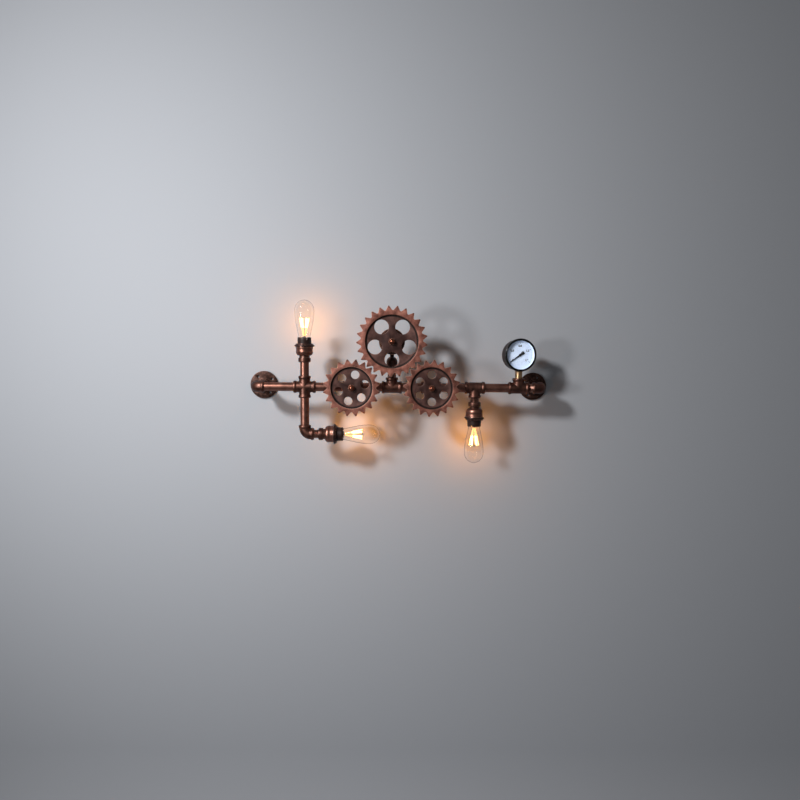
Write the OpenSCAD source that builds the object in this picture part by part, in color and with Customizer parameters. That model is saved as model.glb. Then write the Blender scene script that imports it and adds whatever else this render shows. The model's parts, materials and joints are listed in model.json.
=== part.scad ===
// Gear wall lamp: a run of pipe fittings on two wall flanges that carries three lampholders,
// three meshed gears and a pressure gauge.
// The origin is the centre of the left flange's back face. The wall is the plane y = 0, the room
// lies towards -Y, +X runs along the main pipe and +Z is up.

/* [Pipe run] */
// Visible pipe from the left wall elbow to the cross
left_pipe_len = 71.5; // [40:0.5:120]
// Visible pipe from the cross to the left gear tee
cross_pipe_len = 66; // [50:1:120]
// Visible pipe from a gear tee to the middle tee, the same on both sides
gear_pipe_len = 46.5; // [38:0.5:60]
// Visible pipe from the right gear tee to the lamp tee
lamp_pipe_len = 58.5; // [45:0.5:120]
// Visible pipe from the lamp tee to the gauge tee
gauge_pipe_len = 58; // [40:1:120]
// Visible nipple from the gauge tee to the right wall elbow
end_nipple_len = 10.5; // [4:0.5:60]
// Visible nipple from a flange collar to its wall elbow
wall_nipple_len = 60; // [15:1:120]
// Visible pipe from the cross to the upper lampholder
upper_pipe_len = 33; // [15:1:120]
// Visible pipe from the cross to the lower elbow
drop_pipe_len = 67; // [50:1:160]
// Visible nipple from the lower elbow to its lampholder
lower_nipple_len = 12; // [4:0.5:60]
// Visible nipple from the lamp tee to the hanging lampholder
hang_nipple_len = 10; // [4:0.5:60]
// Visible nipple from the middle tee to the riser cap
riser_nipple_len = 23; // [8:0.5:26]

/* [Pipe and fittings] */
// Outside diameter of the pipe
pipe_d = 21.3; // [20:0.1:23]
// Wall of the pipe
pipe_wall = 2.65; // [2:0.05:3]
// Wall of a fitting around the pipe
fitting_wall = 2.85; // [2.4:0.05:4]
// Rise of the bead at a fitting's mouth above its body
bead_rise = 1.5; // [0.8:0.1:3]
// Width of the bead
bead_w = 7; // [5:0.5:9]
// Chamfer on the bead's edges
bead_chamfer = 1.2; // [0.4:0.1:2]
// Depth of the pipe's seat past the bead
seat_past_bead = 3; // [2:0.1:3.6]
// Radius inside an elbow's bend
crotch_r = 1.5; // [1:0.1:4]
// Straight shoulder of a tee between body and bead
tee_shoulder = 4; // [2:0.5:10]
// Straight shoulder of the cross between body and bead
cross_shoulder = 6.5; // [3:0.5:12]
// Pitch of the pipe thread on the short nipples
thread_pitch = 1.8; // [1.2:0.1:2.4]
// Depth of the pipe thread
thread_depth = 0.7; // [0.3:0.1:1]

/* [Wall flange] */
// Diameter of the flange plate
flange_d = 71; // [62:1:100]
// Thickness of the flange plate
flange_t = 5; // [3:0.5:8]
// Height of the flange from the wall to the collar's face
flange_h = 18; // [16:0.5:30]
// Wall of the flange collar around the pipe
collar_wall = 5.35; // [3.5:0.05:7]
// Diameter of a wall screw hole
screw_hole_d = 6.5; // [4:0.5:9]
// Number of wall screw holes in a flange
screw_holes = 4; // [3:1:6]
// Turn of the left flange on its pipe
left_flange_turn = -9; // [-45:1:45]
// Turn of the right flange on its pipe
right_flange_turn = 18; // [-45:1:45]

/* [Gears] */
// Teeth of the big gear
big_teeth = 25; // [22:1:28]
// Teeth of a small gear
small_teeth = 20; // [18:1:23]
// Tooth module of the gears
gear_module = 6.49; // [6:0.01:7]
// Angle of one tooth of the big gear above the X axis
big_phase = 9.2; // [0:0.1:14]
// Width of the rim along the gear's axis
rim_w = 12; // [9:0.5:20]
// Depth of the recess in the back of a gear's rim
dish = 3; // [1:0.5:3.5]
// Depth of the recess in the front of a gear's rim
face_dish = 4.5; // [1:0.5:6]
// Rim left between the big gear's tooth roots and its dished web
big_rim_wall = 11; // [5:0.5:14]
// Rim left between a small gear's tooth roots and its dished web
small_rim_wall = 7.5; // [5:0.5:11]
// Diameter of a hole in the big gear's web
big_hole_d = 34.5; // [20:0.5:38]
// Radius of the circle on which the big gear's holes lie
big_hole_ring = 42.5; // [38:0.5:45]
// Number of holes in the big gear's web
big_holes = 5; // [3:1:5]
// Diameter of a hole in a small gear's web
small_hole_d = 20; // [12:0.5:24]
// Radius of the circle on which a small gear's holes lie
small_hole_ring = 32.5; // [28:0.5:36]
// Number of holes in a small gear's web
small_holes = 6; // [3:1:7]
// Diameter of the studs on which the gears turn
stud_d = 8; // [6:0.5:10]
// Height of the hexagon head of a gear tee's plug
plug_head = 8; // [5:0.5:14]
// Thickness of a gear washer
washer_t = 1.4; // [0.8:0.1:3]
// Radius of the backing disc behind the big gear's hub
boss_disc_r = 31; // [22:0.5:34]
// Thickness of the backing disc
boss_disc_t = 6; // [3:0.5:9]
// Diameter of the rod between the riser cap and the big gear's boss
rod_d = 10; // [8:0.5:12]

/* [Lampholder and bulb] */
// Diameter of the bulb's screw cap
cap_d = 26.2; // [24:0.1:28]
// Length of the bulb's screw cap
cap_len = 20; // [16:0.5:24]
// Wall of the brass screw shell
screw_shell_wall = 0.9; // [0.5:0.1:1.5]
// Wall of the black holder shell
holder_wall = 2.4; // [1.2:0.1:4]
// Wall of the metal cup
cup_wall = 1.7; // [1:0.1:3]
// Height of the metal cup
cup_h = 21; // [16:0.5:30]
// Height of the shade ring
shade_ring_h = 8; // [4:0.5:14]
// Rise of the shade ring beyond the cup
shade_ring_rise = 3.5; // [1:0.5:8]
// Length of the black shell that stands out of the shade ring
holder_mouth = 15; // [8:0.5:20]
// Neck between the adapter's bead and the cup
adapter_neck = 5; // [3:0.5:12]
// Largest diameter of the bulb's glass
bulb_d = 48; // [42:1:60]
// Length of the glass that stands out of the holder
bulb_out = 91; // [85:1:130]
// Thickness of the glass
glass_t = 1; // [0.6:0.1:1.6]
// Distance of the filaments' start from the holder's mouth
filament_start = 4; // [0:0.5:12]
// Room between the filaments' end and the end of the glass
filament_room = 44; // [20:1:60]
// Number of filaments in a bulb
filaments = 6; // [3:1:8]

/* [Gauge] */
// Outside diameter of the gauge's bezel
gauge_d = 80; // [72:1:100]
// Depth of the gauge case
case_depth = 32; // [24:0.5:40]
// Wall of the gauge case
case_wall = 2; // [1.5:0.1:3]
// Visible height of the brass stem between tee and case
stem_h = 19.5; // [12:0.5:30]
// Diameter of the brass stem
stem_d = 17; // [14:0.5:20]
// Width across the stem's flats below the case
stem_af = 14; // [12:0.5:15]
// Turn of the gauge about its stem, towards the right
gauge_turn = 10; // [0:1:25]
// Resting angle of the pointer, from the dial's right-hand side
pointer_rest = 215; // [205:1:225]
// Length of the pointer's point from its axis
pointer_len = 31; // [22:0.5:32]

/* [Fits] */
// Gap around a fixed piece in its seat
seat_gap = 0.05; // [0.02:0.01:0.1]
// Radial clearance of a turning shaft
run_fit = 0.05; // [0.02:0.01:0.1]
// End clearance of a turning gear between its washers
run_gap = 0.3; // [0.2:0.05:0.6]
// Radial clearance of the bulb's cap in the screw shell
bulb_gap = 0.4; // [0.3:0.05:0.8]

/* [Hidden] */
$fn = 64;

// Overrun of a cut past the face that it leaves
over = 1;

// Finishes
aged_copper = [0.36, 0.20, 0.15];
gear_copper = [0.55, 0.28, 0.21];
dark_bronze = [0.22, 0.14, 0.12];
black = [0.08, 0.07, 0.07];
brass = [0.72, 0.53, 0.26];
steel = [0.66, 0.66, 0.66];
ceramic = [0.88, 0.86, 0.82];
clear_glass = [0.9, 0.93, 0.95, 0.35];
glow = [1.0, 0.82, 0.45];
dial_white = [0.95, 0.96, 0.98];
lead_brown = [0.30, 0.18, 0.10];

// Fittings
engage = bead_w + seat_past_bead;
pipe_bore = pipe_d - 2 * pipe_wall;
socket_d = pipe_d + 2 * seat_gap;
body_d = pipe_d + 2 * fitting_wall;
bead_d = body_d + 2 * bead_rise;
elbow_bend = body_d / 2 + crotch_r;
elbow_reach = elbow_bend + bead_w;
tee_reach = body_d / 2 + tee_shoulder + bead_w;
cross_reach = body_d / 2 + cross_shoulder + bead_w;
collar_d = pipe_d + 2 * collar_wall;
screw_ring = (flange_d + collar_d) / 2;

// Places along the main pipe
wall_gap = flange_h + wall_nipple_len + elbow_reach;
cross_x = elbow_reach + left_pipe_len + cross_reach;
left_gear_x = cross_x + cross_reach + cross_pipe_len + tee_reach;
gear_step = gear_pipe_len + 2 * tee_reach;
middle_x = left_gear_x + gear_step;
right_gear_x = middle_x + gear_step;
lamp_x = right_gear_x + 2 * tee_reach + lamp_pipe_len;
gauge_x = lamp_x + 2 * tee_reach + gauge_pipe_len;
right_x = gauge_x + tee_reach + end_nipple_len + elbow_reach;
low_z = -(cross_reach + drop_pipe_len + elbow_reach);

// Gear train
add_share = 0.54;
ded_share = 1.08;
tip_share = 0.38;
pitch_share = 1;
root_share = 2.4;
gear_centres = gear_module * (big_teeth + small_teeth) / 2;
big_z = sqrt(gear_centres * gear_centres - gear_step * gear_step);
left_angle = 180 + atan2(big_z, gear_step);
right_angle = -atan2(big_z, gear_step);
web_w = rim_w - dish - face_dish;
left_hole_tooth = 9;
right_hole_tooth = 8;
plug_face = tee_reach + plug_head;
hub_back = plug_face + washer_t + run_gap;
hub_front = hub_back + web_w;
nut_back = hub_front + run_gap + washer_t;
plug_hex_rise = 3;
plug_af = pipe_d + plug_hex_rise;
washer_d = 2 * stud_d;
nut_af = 1.6 * stud_d;
nut_hex_h = 0.55 * stud_d;
dome_r = 0.75 * stud_d;
nut_hole = stud_d;
stud_in = 1.75 * stud_d;
boss_wall = 9;
boss_cover = 4;
boss_hub_r = rod_d / 2 + boss_wall;
boss_back = rod_d / 2 + boss_cover;
rod_in_boss = boss_hub_r - boss_cover;
cap_shoulder = 4.5;
cap_room = 6;
cap_straight = engage + cap_shoulder;
cap_hollow = engage + cap_room;
riser_cap_z = tee_reach + riser_nipple_len;

// Lampholder, measured along the lamp from the mouth of its adapter
adapter_stop = 1;
adapter_bead = engage + adapter_stop;
cup_z = adapter_bead + adapter_neck;
cup_floor = 2;
base_z = cup_z + cup_floor;
base_h = 6;
shell_z = base_z + base_h;
contact_h = 2;
cup_top = cup_z + cup_h;
mouth_z = cup_top + shade_ring_h + holder_mouth;
shell_gap = 0.2;
cup_gap = 2.2;
screw_shell_r = cap_d / 2 + bulb_gap;
holder_r = screw_shell_r + screw_shell_wall + shell_gap;
holder_out_r = holder_r + holder_wall;
cup_r = holder_out_r + cup_gap;
cup_out_r = cup_r + cup_wall;
ring_out_r = cup_out_r + shade_ring_rise;
lead_hole_r = 5;
spigot_wall = 2;
spigot_r = lead_hole_r + spigot_wall;
cap_lift = 0.4;
cap_z = shell_z + contact_h + cap_lift;
neck_z = cap_z + cap_len;
neck_rise = 0.2;
neck_r = cap_d / 2 + neck_rise;
bulb_end = mouth_z + bulb_out;
filament_z = mouth_z + filament_start;
filament_end = bulb_end - filament_room;

// Gauge, measured from its axis and forwards from its stem's axis
bezel_wall = 3;
case_r = gauge_d / 2 - bezel_wall;
window_t = 2;
bezel_lip = 2;
gauge_z = tee_reach + stem_h + case_r;
dial_t = 1;
dial_seat = 0.2;
plate_t = 2;
block_half = 6;
block_front = 2;
block_back = -6;
dial_back = block_front + plate_t;
window_room = 5;
case_front = dial_back + dial_t + window_room;
case_back = case_front - case_depth;
dial_gap = 0.3;
neck_d = 2 * (dial_back - dial_gap);
arbor_r = 1.2;
sector_module = 0.6;
pinion_teeth = 10;
sector_teeth = 50;
sector_sweep = 50;
sector_arm = sector_module * (pinion_teeth + sector_teeth) / 2;
plate_half_w = 9;
plate_rise = 5;
plate_top = sector_arm + plate_rise;
block_top = -12;

// Wiring
lead_r = 1.7;
lead_bend = 10;
lead_side = 2.2;
lead_rise = 2;

function aim(v) = v.x != 0 ? [0, 90 * v.x, 0] : v.y != 0 ? [-90 * v.y, 0, 0] : [v.z < 0 ? 180 : 0, 0, 0];
function polar(r, a) = [r * cos(a), r * sin(a)];

// Tooth angle of a gear that meshes at direction a with a gear of n teeth whose tooth stands at phase p
function mesh_phase(a, p, n, m) = a + 180 - (p - a) * n / m + 180 / m;
small_phase_left = mesh_phase(left_angle, big_phase, big_teeth, small_teeth);
small_phase_right = mesh_phase(right_angle, big_phase, big_teeth, small_teeth);

// Six points of one pointed tooth at angle a, on a gear of pitch radius r and module m
function tooth(r, m, a) = [
    for (side = [-1, 1])
        let (flank = [[r - ded_share * m, root_share], [r, pitch_share],
                      [r + add_share * m, tip_share]])
            for (i = side < 0 ? [0, 1, 2] : [2, 1, 0])
                polar(flank[i][0], a + side * flank[i][1] * m / flank[i][0] * 90 / PI)
];

module gear_outline(teeth, m, phase) {
    polygon([for (k = [0 : teeth - 1]) each tooth(m * teeth / 2, m, phase + k * 360 / teeth)]);
}

// Pipe work

module at_main(x, z = 0) {
    translate([x, -wall_gap, z]) children();
}

module bead(w = bead_w) {
    rotate_extrude() polygon([
        [0, 0], [bead_d / 2 - bead_chamfer, 0], [bead_d / 2, bead_chamfer],
        [bead_d / 2, w - bead_chamfer], [bead_d / 2 - bead_chamfer, w], [0, w]
    ]);
}

module socket(reach) {
    translate([0, 0, reach - engage]) cylinder(d = socket_d, h = engage + over);
}

module run_body(reach) {
    cylinder(d = body_d, h = 2 * reach, center = true);
    for (turn = [0, 180]) rotate([turn, 0, 0]) translate([0, 0, reach - bead_w]) bead();
}

module run_bore(reach) {
    cylinder(d = pipe_bore, h = 2 * reach, center = true);
    for (turn = [0, 180]) rotate([turn, 0, 0]) socket(reach);
}

module limb(reach) {
    cylinder(d = body_d, h = reach);
    translate([0, 0, reach - bead_w]) bead();
}

module limb_bore(reach) {
    cylinder(d = pipe_bore, h = reach);
    socket(reach);
}

module tee(v) {
    difference() {
        union() {
            rotate([0, 90, 0]) run_body(tee_reach);
            rotate(aim(v)) limb(tee_reach);
        }
        rotate([0, 90, 0]) run_bore(tee_reach);
        rotate(aim(v)) limb_bore(tee_reach);
    }
}

// Quarter bend between a mouth on +X and a mouth on +Y
module bend(d) {
    translate([elbow_bend, elbow_bend, 0]) rotate([0, 0, 180])
        rotate_extrude(angle = 90) translate([elbow_bend, 0]) circle(d = d);
}

module elbow() {
    difference() {
        union() {
            bend(body_d);
            for (v = [[1, 0, 0], [0, 1, 0]]) rotate(aim(v)) translate([0, 0, elbow_bend]) bead();
        }
        bend(pipe_bore);
        for (v = [[1, 0, 0], [0, 1, 0]]) rotate(aim(v)) {
            translate([0, 0, elbow_bend - over / 10]) cylinder(d = pipe_bore, h = bead_w);
            socket(elbow_reach);
        }
    }
}

// Pipe from face to face, with its ends in their seats
module pipe(visible) {
    translate([0, 0, -engage]) difference() {
        cylinder(d = pipe_d, h = visible + 2 * engage);
        translate([0, 0, -over]) cylinder(d = pipe_bore, h = visible + 2 * engage + 2 * over);
    }
}

// Nipple with its thread showing between the two faces
module nipple(visible) {
    turns = floor(visible / thread_pitch);
    step = visible / turns;
    crest = pipe_d / 2;
    rotate_extrude() polygon(concat(
        [[pipe_bore / 2, -engage], [crest, -engage], [crest, 0]],
        [for (k = [0 : turns - 1]) each [[crest - thread_depth, (k + 0.5) * step], [crest, (k + 1) * step]]],
        [[crest, visible + engage], [pipe_bore / 2, visible + engage]]
    ));
}

module flange(turn) {
    difference() {
        union() {
            cylinder(d = flange_d, h = flange_t);
            cylinder(d = collar_d, h = flange_h);
        }
        translate([0, 0, -over]) cylinder(d = pipe_bore, h = flange_h);
        socket(flange_h);
        for (k = [0 : screw_holes - 1]) rotate([0, 0, turn + (k + 0.5) * 360 / screw_holes])
            translate([screw_ring / 2, 0, -over]) cylinder(d = screw_hole_d, h = flange_t + 2 * over);
    }
}

module left_flange() {
    color(dark_bronze) rotate([90, 0, 0]) flange(left_flange_turn);
}

module right_flange() {
    color(dark_bronze) translate([right_x, 0, 0]) rotate([90, 0, 0]) flange(right_flange_turn);
}

module left_wall_elbow() {
    color(aged_copper) at_main(0) elbow();
}

module right_wall_elbow() {
    color(aged_copper) at_main(right_x) mirror([1, 0, 0]) elbow();
}

module lower_elbow() {
    color(aged_copper) at_main(cross_x, low_z) rotate([90, 0, 0]) elbow();
}

module pipe_nipples() {
    color(aged_copper) {
        for (x = [0, right_x]) translate([x, -flange_h, 0]) rotate([90, 0, 0]) pipe(wall_nipple_len);
        at_main(gauge_x + tee_reach) rotate([0, 90, 0]) nipple(end_nipple_len);
        at_main(cross_x + elbow_reach, low_z) rotate([0, 90, 0]) nipple(lower_nipple_len);
        at_main(lamp_x, -tee_reach) rotate([180, 0, 0]) nipple(hang_nipple_len);
        at_main(middle_x, tee_reach) nipple(riser_nipple_len);
    }
}

module left_pipe() {
    color(aged_copper) at_main(elbow_reach) rotate([0, 90, 0]) pipe(left_pipe_len);
}

module cross_pipe() {
    color(aged_copper) at_main(cross_x + cross_reach) rotate([0, 90, 0]) pipe(cross_pipe_len);
}

module left_gear_pipe() {
    color(aged_copper) at_main(left_gear_x + tee_reach) rotate([0, 90, 0]) pipe(gear_pipe_len);
}

module right_gear_pipe() {
    color(aged_copper) at_main(middle_x + tee_reach) rotate([0, 90, 0]) pipe(gear_pipe_len);
}

module lamp_pipe() {
    color(aged_copper) at_main(right_gear_x + tee_reach) rotate([0, 90, 0]) pipe(lamp_pipe_len);
}

module gauge_pipe() {
    color(aged_copper) at_main(lamp_x + tee_reach) rotate([0, 90, 0]) pipe(gauge_pipe_len);
}

module upper_pipe() {
    color(aged_copper) at_main(cross_x, cross_reach) pipe(upper_pipe_len);
}

module drop_pipe() {
    color(aged_copper) at_main(cross_x, -cross_reach) rotate([180, 0, 0]) pipe(drop_pipe_len);
}

module pipe_cross() {
    color(aged_copper) at_main(cross_x) difference() {
        union() {
            rotate([0, 90, 0]) run_body(cross_reach);
            run_body(cross_reach);
        }
        rotate([0, 90, 0]) run_bore(cross_reach);
        run_bore(cross_reach);
    }
}

module left_gear_tee() {
    color(aged_copper) at_main(left_gear_x) tee([0, -1, 0]);
}

module middle_tee() {
    color(aged_copper) at_main(middle_x) tee([0, 0, 1]);
}

module right_gear_tee() {
    color(aged_copper) at_main(right_gear_x) tee([0, -1, 0]);
}

module lamp_tee() {
    color(aged_copper) at_main(lamp_x) tee([0, 0, -1]);
}

module gauge_tee() {
    color(aged_copper) at_main(gauge_x) tee([0, 0, 1]);
}

// Gears and what carries them. A gear's own +Z points into the room.

module at_gear(x, z) {
    at_main(x, z) rotate([90, 0, 0]) children();
}

module at_each_gear() {
    at_gear(left_gear_x, 0) children();
    at_gear(middle_x, big_z) children();
    at_gear(right_gear_x, 0) children();
}

module stud_hole() {
    translate([0, 0, plug_face - stud_in]) cylinder(d = stud_d + 2 * seat_gap, h = stud_in + over);
}

module gear_tee_plugs() {
    color(dark_bronze) for (x = [left_gear_x, right_gear_x]) at_gear(x, 0) difference() {
        union() {
            translate([0, 0, tee_reach - engage]) cylinder(d = pipe_d, h = engage);
            translate([0, 0, tee_reach]) cylinder(d = plug_af / cos(30), h = plug_head, $fn = 6);
        }
        stud_hole();
    }
}

module riser_cap() {
    color(dark_bronze) at_main(middle_x, riser_cap_z) difference() {
        union() {
            bead();
            cylinder(d = body_d, h = cap_straight);
            translate([0, 0, cap_straight]) sphere(d = body_d);
        }
        translate([0, 0, -over]) cylinder(d = socket_d, h = engage + over);
        cylinder(d = pipe_bore, h = cap_hollow);
        cylinder(d = rod_d + 2 * seat_gap, h = cap_straight + body_d);
    }
}

module riser_rod() {
    rod_z = riser_cap_z + cap_hollow;
    rod_len = big_z - boss_hub_r + rod_in_boss - rod_z;
    color(dark_bronze) at_main(middle_x, rod_z) cylinder(d = rod_d, h = rod_len);
}

module gear_boss() {
    color(dark_bronze) at_main(middle_x, big_z) difference() {
        rotate([90, 0, 0]) {
            translate([0, 0, -boss_back]) cylinder(r = boss_hub_r, h = boss_back + plug_face);
            translate([0, 0, plug_face - boss_disc_t]) cylinder(r = boss_disc_r, h = boss_disc_t);
        }
        rotate([90, 0, 0]) stud_hole();
        translate([0, 0, -boss_disc_r])
            cylinder(d = rod_d + 2 * seat_gap, h = boss_disc_r - boss_hub_r + rod_in_boss);
    }
}

module gear_studs() {
    stud_z = plug_face - stud_in;
    color(steel) at_each_gear() translate([0, 0, stud_z])
        cylinder(d = stud_d, h = nut_back + nut_hole - stud_z);
}

module gear_washers() {
    color(dark_bronze) at_each_gear() for (z = [plug_face, nut_back - washer_t])
        translate([0, 0, z]) tube(washer_d / 2, stud_d / 2 + seat_gap, washer_t);
}

module gear_nuts() {
    dome_z = nut_hole + 0.1 * stud_d - dome_r / 2;
    color(gear_copper) at_each_gear() translate([0, 0, nut_back]) difference() {
        union() {
            cylinder(d = nut_af / cos(30), h = nut_hex_h, $fn = 6);
            cylinder(r = dome_r, h = dome_z);
            translate([0, 0, dome_z]) sphere(r = dome_r);
        }
        translate([0, 0, -over]) cylinder(d = stud_d + 2 * seat_gap, h = nut_hole + over);
    }
}

// Gear with pointed teeth, a dished web on both faces and round holes, the first hole at hole_angle
module gear(teeth, rim_wall, phase, holes, hole_d, hole_ring, hole_angle) {
    dish_r = gear_module * (teeth / 2 - ded_share) - rim_wall;
    translate([0, 0, hub_back - dish]) difference() {
        linear_extrude(rim_w) gear_outline(teeth, gear_module, phase);
        translate([0, 0, -over]) cylinder(r = dish_r, h = dish + over);
        translate([0, 0, rim_w - face_dish]) cylinder(r = dish_r, h = face_dish + over);
        translate([0, 0, -over]) cylinder(d = stud_d + 2 * run_fit, h = rim_w + 2 * over);
        for (k = [0 : holes - 1]) rotate([0, 0, hole_angle + k * 360 / holes])
            translate([hole_ring, 0, -over]) cylinder(d = hole_d, h = rim_w + 2 * over);
    }
}

module big_gear() {
    color(gear_copper) at_gear(middle_x, big_z)
        gear(big_teeth, big_rim_wall, big_phase, big_holes, big_hole_d, big_hole_ring, -90);
}

module left_gear() {
    color(gear_copper) at_gear(left_gear_x, 0)
        gear(small_teeth, small_rim_wall, small_phase_left, small_holes, small_hole_d, small_hole_ring,
             small_phase_left + left_hole_tooth * 360 / small_teeth);
}

module right_gear() {
    color(gear_copper) at_gear(right_gear_x, 0)
        gear(small_teeth, small_rim_wall, small_phase_right, small_holes, small_hole_d, small_hole_ring,
             small_phase_right + right_hole_tooth * 360 / small_teeth);
}

// Lampholders and bulbs. A lamp's own +Z runs from its pipe to the end of its bulb.

module at_upper_lamp() {
    at_main(cross_x, cross_reach + upper_pipe_len) children();
}

module at_lower_lamp() {
    at_main(cross_x + elbow_reach + lower_nipple_len, low_z) rotate([0, 90, 0]) children();
}

module at_hanging_lamp() {
    at_main(lamp_x, -(tee_reach + hang_nipple_len)) rotate([180, 0, 0]) children();
}

module at_each_lamp() {
    at_upper_lamp() children();
    at_lower_lamp() children();
    at_hanging_lamp() children();
}

module tube(r_out, r_in, h) {
    difference() {
        cylinder(r = r_out, h = h);
        translate([0, 0, -over]) cylinder(r = r_in, h = h + 2 * over);
    }
}

module holder_adapters() {
    color(aged_copper) at_each_lamp() difference() {
        union() {
            bead(adapter_bead);
            cylinder(d = body_d - 2, h = cup_z);
            cylinder(r = spigot_r, h = base_z);
        }
        translate([0, 0, -over]) cylinder(d = socket_d, h = engage + over);
        cylinder(r = lead_hole_r, h = base_z + over);
    }
}

module cup() {
    shoulder = 5;
    rotate_extrude() polygon([
        [spigot_r + seat_gap, cup_z], [cup_out_r - shoulder, cup_z],
        [cup_out_r - shoulder / 3, cup_z + shoulder / 3],
        [cup_out_r, cup_z + shoulder], [cup_out_r, cup_top], [cup_r, cup_top],
        [cup_r, base_z + shoulder], [cup_r - shoulder / 3, base_z + shoulder / 3], [cup_r - shoulder, base_z],
        [spigot_r + seat_gap, base_z]
    ]);
}

module upper_cup() {
    color(aged_copper) at_upper_lamp() cup();
}

module lower_cup() {
    color(aged_copper) at_lower_lamp() cup();
}

module hanging_cup() {
    color(aged_copper) at_hanging_lamp() cup();
}

module shade_rings() {
    edge = 1.5;
    color(dark_bronze) at_each_lamp() rotate_extrude() polygon([
        [holder_out_r + seat_gap, cup_top], [cup_out_r, cup_top], [ring_out_r, cup_top + 2 * edge],
        [ring_out_r, cup_top + shade_ring_h - edge], [ring_out_r - edge, cup_top + shade_ring_h],
        [holder_out_r + seat_gap, cup_top + shade_ring_h]
    ]);
}

// Black shell around the screw shell, notched at its mouth
module holder_shell() {
    notch_w = 3.5;
    notch_h = 6;
    difference() {
        translate([0, 0, shell_z]) tube(holder_out_r, holder_r, mouth_z - shell_z);
        for (turn = [0 : 90 : 270]) rotate([0, 0, turn + 30])
            translate([0, -notch_w / 2, mouth_z - notch_h])
                cube([holder_out_r + over, notch_w, notch_h + over]);
    }
}

module upper_holder_shell() {
    color(black) at_upper_lamp() holder_shell();
}

module lower_holder_shell() {
    color(black) at_lower_lamp() holder_shell();
}

module hanging_holder_shell() {
    color(black) at_hanging_lamp() holder_shell();
}

module screw_shells() {
    color(brass) at_each_lamp() translate([0, 0, shell_z])
        tube(screw_shell_r + screw_shell_wall, screw_shell_r, contact_h + cap_len);
}

module contact_bases() {
    base_gap = 0.1;
    base_r = holder_out_r - base_gap;
    notch = 5.5;
    contact_r = 4;
    color(ceramic) at_each_lamp() {
        translate([0, 0, base_z]) cylinder(r = base_r - notch, h = base_h);
        translate([0, 0, base_z + notch - 1]) cylinder(r = base_r, h = base_h - notch + 1);
        translate([0, 0, shell_z]) cylinder(r = contact_r, h = contact_h);
    }
}

// Outline of the glass drawn inwards by t: neck, tangent cone and round end
module glass_outline(t) {
    end_r = bulb_d / 2 - t;
    side_r = neck_r - t;
    far_z = bulb_end - bulb_d / 2;
    rise = far_z - mouth_z;
    lean = atan2(rise, -side_r) - asin(end_r / norm([side_r, rise]));
    reach = sqrt(side_r * side_r + rise * rise - end_r * end_r);
    touch = [side_r, mouth_z] + polar(reach, lean);
    intersection() {
        union() {
            polygon([[0, neck_z + t], [side_r, neck_z + t], [side_r, mouth_z], touch, [0, far_z]]);
            translate([0, far_z]) circle(r = end_r);
        }
        translate([0, neck_z]) square([bulb_d, bulb_end]);
    }
}

module bulb_glass() {
    rotate_extrude() difference() {
        glass_outline(0);
        glass_outline(glass_t);
    }
}

// Screw cap with rounded turns and a contact at its foot
module bulb_cap() {
    foot = 4;
    turns = 4;
    cap_r = cap_d / 2;
    groove = 1.1;
    step = (cap_len - foot - 1) / turns;
    difference() {
        rotate_extrude() polygon(concat(
            [[0, cap_z], [cap_r / 3, cap_z], [cap_r / 3, cap_z + 1], [cap_r - groove, cap_z + foot]],
            [for (k = [0 : turns - 1]) each [
                [cap_r, cap_z + foot + (k + 0.35) * step], [cap_r, cap_z + foot + (k + 0.65) * step],
                [cap_r - groove, cap_z + foot + (k + 1) * step]]],
            [[cap_r - groove, neck_z], [0, neck_z]]
        ));
        translate([0, 0, cap_z + foot]) cylinder(r = cap_r - 2 * groove, h = cap_len);
    }
}

// Glass stem, centre wire and the ring of filaments that spread from it
module bulb_filament() {
    flare = 9;
    stem_r = 3.5;
    wire_r = 0.7;
    ring_in = 2.6;
    ring_room = 12.5;
    ring_out = bulb_d / 2 - ring_room;
    strand_r = 1;
    rise = filament_end - filament_z;
    stem_z = neck_z + glass_t;
    translate([0, 0, stem_z]) cylinder(r1 = flare, r2 = stem_r, h = flare);
    translate([0, 0, stem_z + flare]) cylinder(r = stem_r, h = filament_z - stem_z - flare + over);
    translate([0, 0, filament_z]) cylinder(r = wire_r, h = rise);
    for (k = [0 : filaments - 1]) rotate([0, 0, k * 360 / filaments]) {
        translate([ring_in, 0, filament_z]) rotate([0, atan2(ring_out - ring_in, rise), 0])
            cylinder(r = strand_r, h = norm([ring_out - ring_in, rise]));
        translate([0, 0, filament_end - over]) rotate([0, 90, 0]) cylinder(r = wire_r, h = ring_out);
    }
}

module upper_bulb_glass() {
    color(clear_glass) at_upper_lamp() bulb_glass();
}

module upper_bulb_cap() {
    color(brass) at_upper_lamp() bulb_cap();
}

module upper_bulb_filament() {
    color(glow) at_upper_lamp() bulb_filament();
}

module lower_bulb_glass() {
    color(clear_glass) at_lower_lamp() bulb_glass();
}

module lower_bulb_cap() {
    color(brass) at_lower_lamp() bulb_cap();
}

module lower_bulb_filament() {
    color(glow) at_lower_lamp() bulb_filament();
}

module hanging_bulb_glass() {
    color(clear_glass) at_hanging_lamp() bulb_glass();
}

module hanging_bulb_cap() {
    color(brass) at_hanging_lamp() bulb_cap();
}

module hanging_bulb_filament() {
    color(glow) at_hanging_lamp() bulb_filament();
}

// Pressure gauge. Its own +Z points out of the dial, +Y is up and the origin is on the stem's axis.

module at_gauge() {
    at_main(gauge_x, gauge_z) rotate([0, 0, gauge_turn]) rotate([90, 0, 0]) children();
}

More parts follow.
